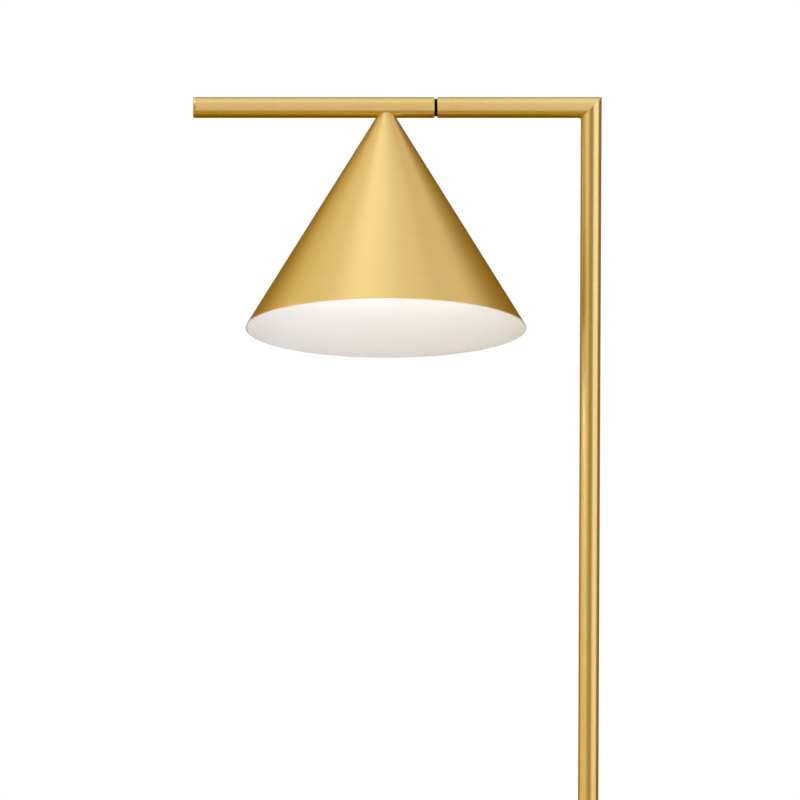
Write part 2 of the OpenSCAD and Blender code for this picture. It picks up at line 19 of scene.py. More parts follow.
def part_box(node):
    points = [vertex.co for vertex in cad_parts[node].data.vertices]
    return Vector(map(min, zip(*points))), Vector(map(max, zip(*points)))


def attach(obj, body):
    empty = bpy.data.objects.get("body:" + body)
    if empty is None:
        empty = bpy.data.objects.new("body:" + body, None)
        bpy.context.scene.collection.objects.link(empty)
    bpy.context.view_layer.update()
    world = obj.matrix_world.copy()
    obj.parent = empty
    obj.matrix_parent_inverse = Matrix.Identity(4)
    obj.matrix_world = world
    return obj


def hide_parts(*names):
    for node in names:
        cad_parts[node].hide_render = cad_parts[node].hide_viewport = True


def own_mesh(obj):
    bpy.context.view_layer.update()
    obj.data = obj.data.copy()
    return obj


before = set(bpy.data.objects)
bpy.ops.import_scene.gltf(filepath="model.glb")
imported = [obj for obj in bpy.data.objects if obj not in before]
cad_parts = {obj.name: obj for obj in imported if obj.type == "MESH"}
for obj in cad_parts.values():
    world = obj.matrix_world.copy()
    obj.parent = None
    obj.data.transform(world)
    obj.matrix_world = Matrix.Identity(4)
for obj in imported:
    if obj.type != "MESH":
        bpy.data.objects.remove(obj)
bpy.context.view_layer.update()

LOG = logging.getLogger("floor_lamp")
MM = 0.001
FULL_TURN = 2 * math.pi
MERGE_GAP = 1e-6
SHARP_ANGLE = math.radians(28)
# A bend softer than this is taken as part of a curve.
SOFT_ANGLE = math.radians(2)
# How near to a soft bend a long flat's shine starts to turn.
HOLD = 0.4 * MM
# The play between two parts that slide into each other.
PLAY = 0.05 * MM

Outline = list[tuple[float, float]]
Colour = tuple[float, float, float, float]
Trim = Callable[[Vector], Vector]
Tree = bpy.types.NodeTree
Node = bpy.types.Node
Socket = bpy.types.NodeSocket
Piece = bpy.types.Object


class Body(Enum):
    """The bodies that the frame moves."""

    ROOT = "root"
    BUTTON = "button"
    HEAD = "head"


# ---- Node trees ----


def linear(code: str) -> Colour:
    """Turns an sRGB colour into a linear one.

    Args:
        code: An sRGB colour, such as #C9A35A.

    Returns:
        The same colour as linear RGBA.
    """
    shares = [int(code[i:i + 2], 16) / 255 for i in (1, 3, 5)]
    red, green, blue = (s / 12.92 if s <= 0.04045 else ((s + 0.055) / 1.055) ** 2.4 for s in shares)
    return red, green, blue, 1.0


def add(tree: Tree, kind: str, inputs: Mapping | None = None, **settings) -> Node:
    """Adds a node with its settings and links.

    Args:
        tree: The tree that the node goes in.
        kind: The node's type.
        inputs: A value, or an output to link from, for each input, by its name or its place.
        settings: The node's own settings.

    Returns:
        The new node.
    """
    node = tree.nodes.new(kind)
    for name, value in settings.items():
        setattr(node, name, value)
    for place, value in (inputs or {}).items():
        if isinstance(value, Field):
            value = value.socket
        if isinstance(value, Socket):
            tree.links.new(value, node.inputs[place])
        else:
            node.inputs[place].default_value = value
    return node


class Field:
    """A number that a node tree works out, so that a formula in the tree reads as a formula."""

    def __init__(self, tree: Tree, socket: Socket) -> None:
        """Takes the output that gives the number."""
        self.tree = tree
        self.socket = socket

    def work(self, operation: str, *others: "Field | float") -> "Field":
        """Returns the result of a Math operation on this number and the others."""
        node = add(self.tree, "ShaderNodeMath", dict(enumerate((self, *others))), operation=operation)
        return Field(self.tree, node.outputs[0])

    def __add__(self, other: "Field | float") -> "Field":
        """Returns the sum."""
        return self.work("ADD", other)

    def __sub__(self, other: "Field | float") -> "Field":
        """Returns the difference."""
        return self.work("SUBTRACT", other)

    def __mul__(self, other: "Field | float") -> "Field":
        """Returns the product."""
        return self.work("MULTIPLY", other)

    def __truediv__(self, other: "Field | float") -> "Field":
        """Returns the quotient."""
        return self.work("DIVIDE", other)

    def mix(self, other: "Field", share: "Field") -> "Field":
        """Returns a number that goes from this one to the other as share goes from 0 to 1."""
        return self + (other - self) * share


class MakerTree:
    """A Geometry Nodes tree with named inputs, which makes one kind of shape."""

    def __init__(self, name: str, inputs: Mapping[str, float | int], materials: Sequence[str]) -> None:
        """Starts a tree.

        Args:
            name: The tree's name.
            inputs: Each size or count, with the value that it has unless it is set.
            materials: The names of its material inputs.
        """
        self.tree = bpy.data.node_groups.new(name, "GeometryNodeTree")
        face = self.tree.interface
        for label, value in inputs.items():
            kind = "NodeSocketInt" if isinstance(value, int) else "NodeSocketFloat"
            face.new_socket(label, in_out="INPUT", socket_type=kind).default_value = value
        for label in materials:
            face.new_socket(label, in_out="INPUT", socket_type="NodeSocketMaterial")
        face.new_socket("Geometry", in_out="OUTPUT", socket_type="NodeSocketGeometry")
        self.given = self.tree.nodes.new("NodeGroupInput")

    def number(self, label: str) -> Field:
        """Returns a named input as a number."""
        return Field(self.tree, self.given.outputs[label])

    def grid(self, rows: Socket, columns: Socket) -> tuple[Socket, Field, Field]:
        """Adds a unit grid.

        Args:
            rows: Vertices along it.
            columns: Vertices round it.

        Returns:
            The grid's mesh, the share along it and the angle round it.
        """
        sheet = add(self.tree, "GeometryNodeMeshGrid", {"Vertices X": rows, "Vertices Y": columns})
        place = add(self.tree, "GeometryNodeInputPosition")
        parts = add(self.tree, "ShaderNodeSeparateXYZ", {0: place.outputs[0]})
        along = Field(self.tree, parts.outputs[0]) + 0.5
        turn = (Field(self.tree, parts.outputs[1]) + 0.5) * FULL_TURN
        return sheet.outputs["Mesh"], along, turn

    def turned(self, mesh: Socket, radius: Field, height: Field, turn: Field) -> Node:
        """Moves a grid's vertices round Z.

        Args:
            mesh: The grid.
            radius: How far each vertex goes from Z.
            height: How far along Z it goes.
            turn: Its angle round Z.

        Returns:
            The node that has the turned grid.
        """
        where = {0: radius * turn.work("COSINE"), 1: radius * turn.work("SINE"), 2: height}
        place = add(self.tree, "ShaderNodeCombineXYZ", where)
        return add(self.tree, "GeometryNodeSetPosition", {"Geometry": mesh, "Position": place.outputs[0]})

    def finish(self, shape: Socket, finishes: Mapping[str, Field | None]) -> None:
        """Ends the tree.

        Args:
            shape: What the tree has made.
            finishes: Each material input, with the faces that it goes on, or None for all of them.
        """
        last = add(self.tree, "GeometryNodeRealizeInstances", {0: shape})
        for label, faces in finishes.items():
            inputs = {"Geometry": last.outputs[0], "Material": self.given.outputs[label]}
            if faces is not None:
                inputs["Selection"] = faces
            last = add(self.tree, "GeometryNodeSetMaterial", inputs)
        out = self.tree.nodes.new("NodeGroupOutput")
        self.tree.links.new(last.outputs[0], out.inputs["Geometry"])

    def make(self, name: str, axis: "Axis", values: Mapping) -> Piece:
        """Runs the tree with its own values and turns the result into a plain mesh.

        Args:
            name: The piece's name.
            axis: Where the tree's Z axis and origin are in the frame.
            values: The tree's sizes and materials by name.

        Returns:
            The finished piece, closed and with its faces outwards.
        """
        maker = bpy.data.objects.new(name + "_maker", bpy.data.meshes.new(name + "_maker"))
        bpy.context.scene.collection.objects.link(maker)
        modifier = maker.modifiers.new(name, "NODES")
        modifier.node_group = self.tree
        for item in self.tree.interface.items_tree:
            if item.in_out == "INPUT" and item.name in values:
                modifier[item.identifier] = values[item.name]
        graph = bpy.context.evaluated_depsgraph_get()
        mesh = bpy.data.meshes.new_from_object(maker.evaluated_get(graph), depsgraph=graph)
        bpy.data.objects.remove(maker)
        mesh.transform(axis.matrix)
        mesh.name = name
        return closed_piece(name, mesh, axis)


# ---- Meshes ----


@dataclass(frozen=True)
class Span:
    """How far a node reaches along an axis, and how near to it and far from it."""

    low: float
    high: float
    inner: float
    outer: float


@dataclass(frozen=True)
class Axis:
    """A turning axis: a point on it, the direction of its height, and where its angles start."""

    origin: Vector
    up: Vector
    start: Vector

    @property
    def matrix(self) -> Matrix:
        """Works out the matrix from the axis's own frame to the lamp's frame.

        Returns:
            The matrix.
        """
        side = self.up.cross(self.start)
        turned = Matrix((self.start, side, self.up)).transposed().to_4x4()
        return Matrix.Translation(self.origin) @ turned

    def point(self, radius: float, height: float, angle: float) -> Vector:
        """Returns a point by its distance from the axis, its height and its angle round it."""
        return self.matrix @ Vector((radius * math.cos(angle), radius * math.sin(angle), height))

    def span(self, node: str) -> Span:
        """Measures a node along this axis and away from it.

        Args:
            node: The name of a node of the frame.

        Returns:
            How far the node reaches.
        """
        to_axis = self.matrix.inverted()
        points = [to_axis @ v.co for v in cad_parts[node].data.vertices]
        heights = [p.z for p in points]
        away = [math.hypot(p.x, p.y) for p in points]
        return Span(min(heights), max(heights), min(away), max(away))


def link(name: str, mesh: bpy.types.Mesh) -> Piece:
    """Puts a mesh in the scene.

    Args:
        name: The object's name.
        mesh: Its mesh.

    Returns:
        The new object, at the origin.
    """
    piece = bpy.data.objects.new(name, mesh)
    bpy.context.scene.collection.objects.link(piece)
    return piece


def closed_piece(name: str, mesh: bpy.types.Mesh, axis: Axis) -> Piece:
    """Closes a mesh's seams and poles, turns its faces outwards and wraps a map round it.

    Args:
        name: The piece's name.
        mesh: A mesh in the lamp's frame.
        axis: The axis that the brush marks and the map go round.

    Returns:
        The finished piece.
    """
    shape = bmesh.new()
    shape.from_mesh(mesh)
    bmesh.ops.remove_doubles(shape, verts=shape.verts, dist=MERGE_GAP)
    bmesh.ops.dissolve_degenerate(shape, edges=shape.edges, dist=MERGE_GAP)
    bmesh.ops.recalc_face_normals(shape, faces=shape.faces)
    shape.to_mesh(mesh)
    shape.free()
    mesh.polygons.foreach_set("use_smooth", [True] * len(mesh.polygons))
    mesh.set_sharp_from_angle(angle=SHARP_ANGLE)
    wrap(mesh, axis)
    return link(name, mesh)


def wrap(mesh: bpy.types.Mesh, axis: Axis) -> None:
    """Gives a mesh a map: one turn round the axis across it, and metres from the rim inwards up it.

    Args:
        mesh: The mesh to map.
        axis: The axis that the map goes round.
    """
    for old in list(mesh.uv_layers):
        mesh.uv_layers.remove(old)
    layer = mesh.uv_layers.new(name="wrap")
    to_axis = axis.matrix.inverted()
    points = [to_axis @ v.co for v in mesh.vertices]
    for face in mesh.polygons:
        middle = sum((points[i] for i in face.vertices), Vector()) / len(face.vertices)
        facing = math.atan2(middle.y, middle.x)
        for corner, index in zip(face.loop_indices, face.vertices):
            point = points[index]
            away = math.hypot(point.x, point.y)
            turn = facing
            if away > MERGE_GAP:
                turn += math.remainder(math.atan2(point.y, point.x) - facing, FULL_TURN)
            layer.data[corner].uv = (turn / FULL_TURN, point.z - away)


def lofted(name: str, rings: Sequence[Sequence[Vector]], axis: Axis, round_trip: bool) -> Piece:
    """Joins rings of points into a closed skin.

    Args:
        name: The piece's name.
        rings: Closed rings with the same number of points.
        axis: The axis that the piece's map goes round.
        round_trip: Whether the last ring joins the first one.

    Returns:
        The finished piece.
    """
    count = len(rings[0])
    total = len(rings)
    faces = []
    for ring in range(total if round_trip else total - 1):
        after = (ring + 1) % total
        for i in range(count):
            j = (i + 1) % count
            faces.append((ring * count + i, ring * count + j, after * count + j, after * count + i))
    mesh = bpy.data.meshes.new(name)
    mesh.from_pydata([tuple(p) for ring in rings for p in ring], [], faces)
    return closed_piece(name, mesh, axis)


def held(outline: Outline, closed: bool) -> Outline:
    """Adds a point on each long flat beside a small soft bend, so that the shine turns only there.

    Args:
        outline: The outline's points.
        closed: Whether the last point joins the first one.

    Returns:
        The outline with the added points.
    """
    points = [Vector(point) for point in outline]
    count = len(points)

    def soft(flat: Vector, beside: Vector) -> bool:
        """Tells whether a flat is much longer than what it softly bends into."""
        long = flat.length > max(3 * beside.length, 3 * HOLD) and beside.length > 0
        return long and SOFT_ANGLE < flat.angle(beside) < SHARP_ANGLE

    kept = []
    for i, here in enumerate(points):
        kept.append(outline[i])
        if i + 1 == count and not closed:
            break
        there, after = points[(i + 1) % count], points[(i + 2) % count]
        flat = there - here
        if (i > 0 or closed) and soft(flat, here - points[i - 1]):
            kept.append(tuple(here + flat.normalized() * HOLD))
        if (i + 2 < count or closed) and soft(flat, after - there):
            kept.append(tuple(there - flat.normalized() * HOLD))
    return kept


def turned(
    name: str,
    outline: Outline,
    axis: Axis,
    steps: int = 128,
    trim: Trim | None = None,
) -> Piece:
    """Turns an outline round an axis.

    Args:
        name: The piece's name.
        outline: Pairs of radius and height. It starts and ends on the axis, or closes on itself.
        axis: The axis that it turns round.
        steps: Points in each ring.
        trim: Moves a point that stands past a cut, such as a mitre.

    Returns:
        The finished piece.
    """
    on_axis = outline[0][0] < MERGE_GAP and outline[-1][0] < MERGE_GAP
    angles = [FULL_TURN * i / steps for i in range(steps)]
    rings = [[axis.point(radius, height, a) for a in angles] for radius, height in held(outline, not on_axis)]
    if trim:
        rings = [[trim(p) for p in ring] for ring in rings]
    return lofted(name, rings, axis, round_trip=not on_axis)


def arc(radius: float, height: float, size: float, start: float, end: float, steps: int = 6) -> Outline:
    """Returns points of an outline along an arc, by its centre, its radius and its two angles in degrees."""
    angles = [math.radians(start + (end - start) * i / steps) for i in range(steps + 1)]
    return [(radius + size * math.cos(a), height + size * math.sin(a)) for a in angles]


def drilled(piece: Piece, axis: Axis, bits: Sequence[Piece]) -> Piece:
    """Cuts holes in a piece.

    Args:
        piece: The piece to cut.
        axis: The axis that its map goes round.
        bits: The solids to cut away, which are used up.

    Returns:
        The cut piece, under the same name.
    """
    for bit in bits:
        cut = piece.modifiers.new(bit.name, "BOOLEAN")
        cut.operation = "DIFFERENCE"
        cut.solver = "EXACT"
        cut.object = bit
    graph = bpy.context.evaluated_depsgraph_get()
    mesh = bpy.data.meshes.new_from_object(piece.evaluated_get(graph), depsgraph=graph)
    name = piece.name
    for spent in (piece, *bits):
        bpy.data.objects.remove(spent)
    return closed_piece(name, mesh, axis)


def drill_bit(name: str, axis: Axis, radius: float, low: float, high: float) -> Piece:
    """Returns a round solid to cut with, along an axis from one height to another."""
    outline = [(0.0, low), (radius, low), (radius, high), (0.0, high)]
    return turned(name, outline, axis, steps=64)


# ---- Finishes ----

# The part of a pattern's range that the tint uses.
TINT_LOW, TINT_HIGH = 0.3, 0.7
# How rough a pattern's finer layers are.
PATTERN_ROUGHNESS = 0.55
# How much wider the broad mottling of a surface is than its grain.
MOTTLING = 12
COAT_ROUGHNESS = 0.12
# How far red, green and blue light goes into a plastic.
SCATTER_REACH = (3 * MM, 2.6 * MM, 2.2 * MM)
# The anisotropy's turn that lays a highlight across the brush marks.
ACROSS_MARKS = 0.25


@dataclass(frozen=True)
class Finish:
    """What every finish has: a colour and a roughness on one shader, and a grain."""

    name: str
    colour: str
    second_colour: str
    roughness: float
    grain_mm: float
    grain_depth_mm: float
    metallic: float = 0.0
    edge_tint: str = "#FFFFFF"
    coat: float = 0.0
    sheen: float = 0.0
    scatter: float = 0.0
    glow: float = 0.0
    roughness_spread: float = 0.06

    def material(self) -> bpy.types.Material:
        """Finds or makes the finish's material.

        Returns:
            The material, which is made the first time.
        """
        found = bpy.data.materials.get(self.name)
        if found:
            return found
        made = bpy.data.materials.new(self.name)
        made.use_nodes = True
        tree = made.node_tree
        shader = tree.nodes["Principled BSDF"]
        even = {
            "Metallic": self.metallic, "Specular Tint": linear(self.edge_tint), "Sheen Weight": self.sheen,
            "Coat Weight": self.coat, "Coat Roughness": COAT_ROUGHNESS,
            "Emission Color": linear(self.colour), "Emission Strength": self.glow,
        }
        if self.scatter:
            even["Subsurface Weight"] = self.scatter
            even["Subsurface Radius"] = SCATTER_REACH
            even["Subsurface Scale"] = 1.0
        for label, value in even.items():
            shader.inputs[label].default_value = value
        self.paint(tree, shader)
        return made

    def paint(self, tree: Tree, shader: Node) -> None:
        """Drives the shader from an even grain, as on a moulded, cast or plated surface.

        Args:
            tree: The material's tree.
            shader: Its shader.
        """
        where = add(tree, "ShaderNodeTexCoord").outputs["Object"]
        grain = self.noise(tree, where, 1 / (self.grain_mm * MM), detail=3.0)
        broad = self.noise(tree, where, 1 / (MOTTLING * self.grain_mm * MM), detail=2.0)
        self.drive(tree, shader, tint=broad, rough=broad, height=grain)

    def noise(self, tree: Tree, where: Socket, scale: float, detail: float) -> Field:
        """Adds a noise pattern.

        Args:
            tree: The material's tree.
            where: The coordinates that it is read at.
            scale: Its grains in a metre.
            detail: How many finer layers it has.

        Returns:
            The pattern, from 0 to 1.
        """
        inputs = {"Vector": where, "Scale": scale, "Detail": detail, "Roughness": PATTERN_ROUGHNESS}
        return Field(tree, add(tree, "ShaderNodeTexNoise", inputs).outputs[0])

    def drive(self, tree: Tree, shader: Node, tint: Field, rough: Field, height: Field) -> None:
        """Links patterns to the shader.

        Args:
            tree: The material's tree.
            shader: Its shader.
            tint: Goes between the two colours.
            rough: Raises and lowers the roughness.
            height: Stands up from the surface by the grain's depth.
        """
        shader.inputs["Base Color"].default_value = linear(self.colour)
        share = {"Value": tint, "From Min": TINT_LOW, "From Max": TINT_HIGH}
        self.overlay(tree, shader, add(tree, "ShaderNodeMapRange", share).outputs[0], self.second_colour)
        level = (rough - 0.5) * (2 * self.roughness_spread) + self.roughness
        tree.links.new(level.socket, shader.inputs["Roughness"])
        raised = {"Strength": 1.0, "Distance": self.grain_depth_mm * MM, "Height": height}
        bump = add(tree, "ShaderNodeBump", raised)
        tree.links.new(bump.outputs[0], shader.inputs["Normal"])

    def overlay(self, tree: Tree, shader: Node, share: Field | Socket, colour: str) -> None:
        """Lays a colour over what the shader has so far.

        Args:
            tree: The material's tree.
            shader: Its shader.
            share: How much of the new colour shows, from 0 to 1.
            colour: The new colour.
        """
        base = shader.inputs["Base Color"]
        under = base.links[0].from_socket if base.is_linked else tuple(base.default_value)
        mixed = {0: share, 6: under, 7: linear(colour)}
        tone = add(tree, "ShaderNodeMix", mixed, data_type="RGBA")
        tree.links.new(tone.outputs[2], base)


@dataclass(frozen=True)
class BrushedMetal(Finish):
    """A metal with brush marks round its axis. They stretch a highlight across themselves."""

    anisotropy: float = 0.0
    mark_length_mm: float = 60.0
    patina_mm: float = 140.0
    worn_colour: str = "#F2DDA8"
    worn_from: float = 0.53
    worn_to: float = 0.62
    worn_share: float = 0.6

    def paint(self, tree: Tree, shader: Node) -> None:
        """Drives the shader from marks that follow the map round the axis, and from worn edges.

        Args:
            tree: The material's tree.
            shader: Its shader.
        """
        where = add(tree, "ShaderNodeTexCoord").outputs["Object"]
        mapped = add(tree, "ShaderNodeUVMap", uv_map="wrap").outputs[0]
        up = Field(tree, add(tree, "ShaderNodeSeparateXYZ", {0: mapped}).outputs[1])
        stretch = {0: where, 1: (1 / (self.mark_length_mm * MM),) * 3}
        long = add(tree, "ShaderNodeVectorMath", stretch, operation="MULTIPLY")
        fine = add(tree, "ShaderNodeCombineXYZ", {2: up / (self.grain_mm * MM)})
        across = add(tree, "ShaderNodeVectorMath", {0: long.outputs[0], 1: fine.outputs[0]}, operation="ADD")
        marks = self.noise(tree, across.outputs[0], 1.0, detail=1.5)
        patina = self.noise(tree, where, 1 / (self.patina_mm * MM), detail=2.0)
        self.drive(tree, shader, tint=(marks + patina) * 0.5, rough=marks, height=marks)
        self.wear(tree, shader)
        shader.inputs["Anisotropic"].default_value = self.anisotropy
        shader.inputs["Anisotropic Rotation"].default_value = ACROSS_MARKS
        tangent = add(tree, "ShaderNodeTangent", direction_type="UV_MAP", uv_map="wrap")
        tree.links.new(tangent.outputs[0], shader.inputs["Tangent"])

    def wear(self, tree: Tree, shader: Node) -> None:
        """Lightens the edges that hands and cloths have rubbed.

        Args:
            tree: The material's tree.
            shader: Its shader.
        """
        pointed = add(tree, "ShaderNodeNewGeometry").outputs["Pointiness"]
        edges = {
            "Value": pointed, "From Min": self.worn_from, "From Max": self.worn_to, "To Max": self.worn_share,
        }
        share = add(tree, "ShaderNodeMapRange", edges)
        self.overlay(tree, shader, share.outputs[0], self.worn_colour)


@dataclass(frozen=True)
class CoreInsulation(Finish):
    """Insulated cores side by side, each in its own colour."""

    side_colour: str = "#7A4A2A"
    side_mm: float = 0.8

    def paint(self, tree: Tree, shader: Node) -> None:
        """Colours each core by its place across the lamp.

        Args:
            tree: The material's tree.
            shader: Its shader.
        """
        super().paint(tree, shader)
        where = add(tree, "ShaderNodeTexCoord").outputs["Object"]
        across = Field(tree, add(tree, "ShaderNodeSeparateXYZ", {0: where}).outputs[1])
        self.overlay(tree, shader, across.work("GREATER_THAN", self.side_mm * MM), self.side_colour)


# Satin brass: the drawn tubes and the spun cover, brushed round their axes and lacquered. Warm yellow,
# with soft bands of reflection. Real marks are about 0.08 mm apart, which is too fine to show, so these
# are 1.8 mm apart.
SATIN_BRASS = BrushedMetal(
    "satin_brass_brushed_lacquered", "#EDD18A", "#EACE86", 0.46, 1.8, 0.0018,
    metallic=1.0, edge_tint="#C8A050", roughness_spread=0.018, anisotropy=0.95,
)
# Spun brass: the shade's sheet, brushed on the lathe it was spun on. Its marks are cut a little deeper
# than the tubes' and are drawn at the same 1.8 mm, and its highlight stretches a little less.
SPUN_BRASS = BrushedMetal(
    "spun_brass_brushed_lacquered", "#E8CE89", "#E4C982", 0.43, 1.8, 0.0026,
    metallic=1.0, edge_tint="#C8A050", roughness_spread=0.02, anisotropy=0.83,
)
# Turned brass: the small parts off a lathe, with closer marks, drawn 0.9 mm apart, and a brighter shine.
TURNED_BRASS = BrushedMetal(
    "turned_brass_lathe_finish", "#EACD84", "#E2C276", 0.3, 0.9, 0.004,
    metallic=1.0, edge_tint="#C8A050", roughness_spread=0.04, anisotropy=0.7, mark_length_mm=30.0,
)
# White stove enamel: the sprayed inside of the shade. Smooth, with a faint orange peel 2 mm across.
WHITE_ENAMEL = Finish("white_stove_enamel", "#E1DEDB", "#DFDCD9", 0.42, 2.0, 0.006, coat=0.15)
# Brass solder: the dressed fillet in the corner of the mitre, a shade duller than the tube.
BRAZING = Finish("dressed_brazing_brass", "#E2C27A", "#D9B76C", 0.34, 0.6, 0.01, metallic=1.0)
# Zinc-plated steel: pale, with the faint spangle of a barrel plating.
ZINC_STEEL = Finish("zinc_plated_steel", "#B7BCC2", "#A4AAB2", 0.38, 0.6, 0.01, metallic=1.0)
# Spring steel: drawn wire and ground stampings, darker and brighter than the plated parts.
SPRING_STEEL = Finish("bright_spring_steel", "#A9ABAE", "#8F9194", 0.26, 0.4, 0.005, metallic=1.0)
# Cast iron: sand-cast and painted over, rough with 1.5 mm grains.
CAST_IRON = Finish("sand_cast_iron", "#3D3E40", "#2E2F31", 0.72, 1.5, 0.25, metallic=0.6)
# EVA foam: the closed-cell pad under the base, matt, with 0.8 mm cells.
FOAM_PAD = Finish("black_eva_foam", "#1C1C1D", "#272728", 0.9, 0.8, 0.08, sheen=0.2)
# Nylon: moulded, black and dull, with a spark-eroded texture of 0.3 mm.
BLACK_NYLON = Finish("black_moulded_nylon", "#050505", "#0C0C0C", 0.55, 0.3, 0.01, edge_tint="#303030")
# PVC sheath: the round black lead, extruded and a little greasy.
LEAD_SHEATH = Finish("black_pvc_sheath", "#151516", "#1D1D1E", 0.5, 0.7, 0.02)
# PVC core insulation: extruded, blue and brown.
CORE_COLOURS = CoreInsulation("pvc_core_insulation", "#3C6EA8", "#35639A", 0.45, 0.8, 0.01)
# PBT plastic: the holder's white moulding, with an eggshell texture of 0.4 mm.
WHITE_PLASTIC = Finish("white_moulded_pbt", "#EFEDE8", "#E8E6E0", 0.4, 0.4, 0.012, scatter=0.1)
# Steatite: the pressed and fired insulator, with a thin glaze.
WHITE_CERAMIC = Finish("glazed_steatite", "#EDEAE2", "#E2DED4", 0.22, 1.2, 0.03, coat=0.4)
# Nickel-plated brass: the bulb's rolled screw cap, bright with faint draw marks.
NICKEL_CAP = Finish("nickel_plated_cap", "#C9C6BE", "#BBB8B0", 0.22, 0.5, 0.004, metallic=1.0)
# Opal polycarbonate: the bulb's globe, frosted from inside, so light goes a little way in.
OPAL_PLASTIC = Finish(
    "opal_polycarbonate", "#F1F4FA", "#EDF0F6", 0.3, 0.8, 0.004, coat=0.2, scatter=0.35, glow=17.0,
)


def dress(finish: Finish, *nodes: str) -> None:
    """Gives nodes of the frame a finish, in their objects' own material slots.

    Args:
        finish: The finish.
        nodes: The names of the nodes.
    """
    for name in nodes:
        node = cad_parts[name]
        if not node.material_slots:
            node.data.materials.append(finish.material())
        for slot in node.material_slots:
            slot.material = finish.material()
        LOG.info("%s: node kept, in %s", name, finish.name)


def install(piece: Piece, body: Body, slot: str, *nodes: str) -> Piece:
    """Puts a finished piece on its body.

    Args:
        piece: The piece.
        body: The body that moves it.
        slot: The record's material slot. It is not used.
        nodes: The nodes of the frame that it stands for.

    Returns:
        The same piece.
    """
    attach(piece, body.value)
    if nodes:
        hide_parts(*nodes)
    LOG.info("%s: %d faces on %s", piece.name, len(piece.data.polygons), body.value)
    return piece


def coat(piece: Piece, finish: Finish) -> Piece:
    """Gives a piece one finish all over.

    Args:
        piece: The piece.
        finish: The finish.

    Returns:
        The same piece.
    """
    piece.data.materials.clear()
    piece.data.materials.append(finish.material())
    return piece


# ---- Axes of the lamp ----


def middle(node: str) -> Vector:
    """Returns the middle of a node's box."""
    low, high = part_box(node)
    return (low + high) / 2


@dataclass(frozen=True)
class LampAxes:
    """The axes that the lamp's pieces turn round."""

    base: Axis
    post: Axis
    arm: Axis
    shade: Axis
    button: Axis
    inlet: Axis

    @classmethod
    def from_frame(cls) -> "LampAxes":
        """Finds the axes from the frame's nodes.

        Returns:
            The axes.
        """
        up = Vector((0, 0, 1))
        along = Vector((1, 0, 0))
        post = middle("post_lower_tube")
        arm_z = middle("joint_ring").z
        hung = middle("contact_disc")
        base = Axis(Vector((0, 0, 0)), up, along)
        on_arm = Vector((hung.x, 0, arm_z))
        return cls(
            base=base,
            post=Axis(Vector((post.x, 0, 0)), up, along),
            arm=Axis(Vector((post.x, 0, arm_z)), -along, up),
            shade=Axis(on_arm, (on_arm - hung).normalized(), along),
            button=Axis(Vector((middle("foot_button").x, 0, 0)), up, along),
            inlet=Axis(Vector((0, 0, middle("inlet_bush").z)), along, up),
        )


# ---- Shared maker trees ----


def bead_ring_tree() -> MakerTree:
    """Builds the tree for rings of beading, evenly stepped along and away from an axis.

    Returns:
        The tree.
    """
    inputs = {
        "Count": 5, "First Radius": 0.01, "Radius Step": 0.0, "First Height": 0.0, "Height Step": 0.003,
        "Bead Radius": 0.0005, "Around": 96, "Bead Sides": 10,
    }
    maker = MakerTree("bead_rings", inputs, ["Finish"])
    tree, given = maker.tree, maker.given.outputs
    index = Field(tree, add(tree, "GeometryNodeInputIndex").outputs[0])
    height = maker.number("First Height") + maker.number("Height Step") * index
    radius = maker.number("First Radius") + maker.number("Radius Step") * index
    place = add(tree, "ShaderNodeCombineXYZ", {2: height})
    scale = add(tree, "ShaderNodeCombineXYZ", {0: radius, 1: radius, 2: 1.0})
    points = add(tree, "GeometryNodePoints", {"Count": given["Count"], "Position": place.outputs[0]})
    ring = add(tree, "GeometryNodeCurvePrimitiveCircle", {"Resolution": given["Around"], "Radius": 1.0})
    bead = {"Resolution": given["Bead Sides"], "Radius": given["Bead Radius"]}
    section = add(tree, "GeometryNodeCurvePrimitiveCircle", bead)
    laid = {"Points": points.outputs[0], "Instance": ring.outputs[0], "Scale": scale.outputs[0]}
    rings = add(tree, "GeometryNodeInstanceOnPoints", laid)
    real = add(tree, "GeometryNodeRealizeInstances", {0: rings.outputs[0]})
    swept = {"Curve": real.outputs[0], "Profile Curve": section.outputs[0]}
    beads = add(tree, "GeometryNodeCurveToMesh", swept)
    maker.finish(beads.outputs[0], {"Finish": None})
    return maker


# ---- Base ----


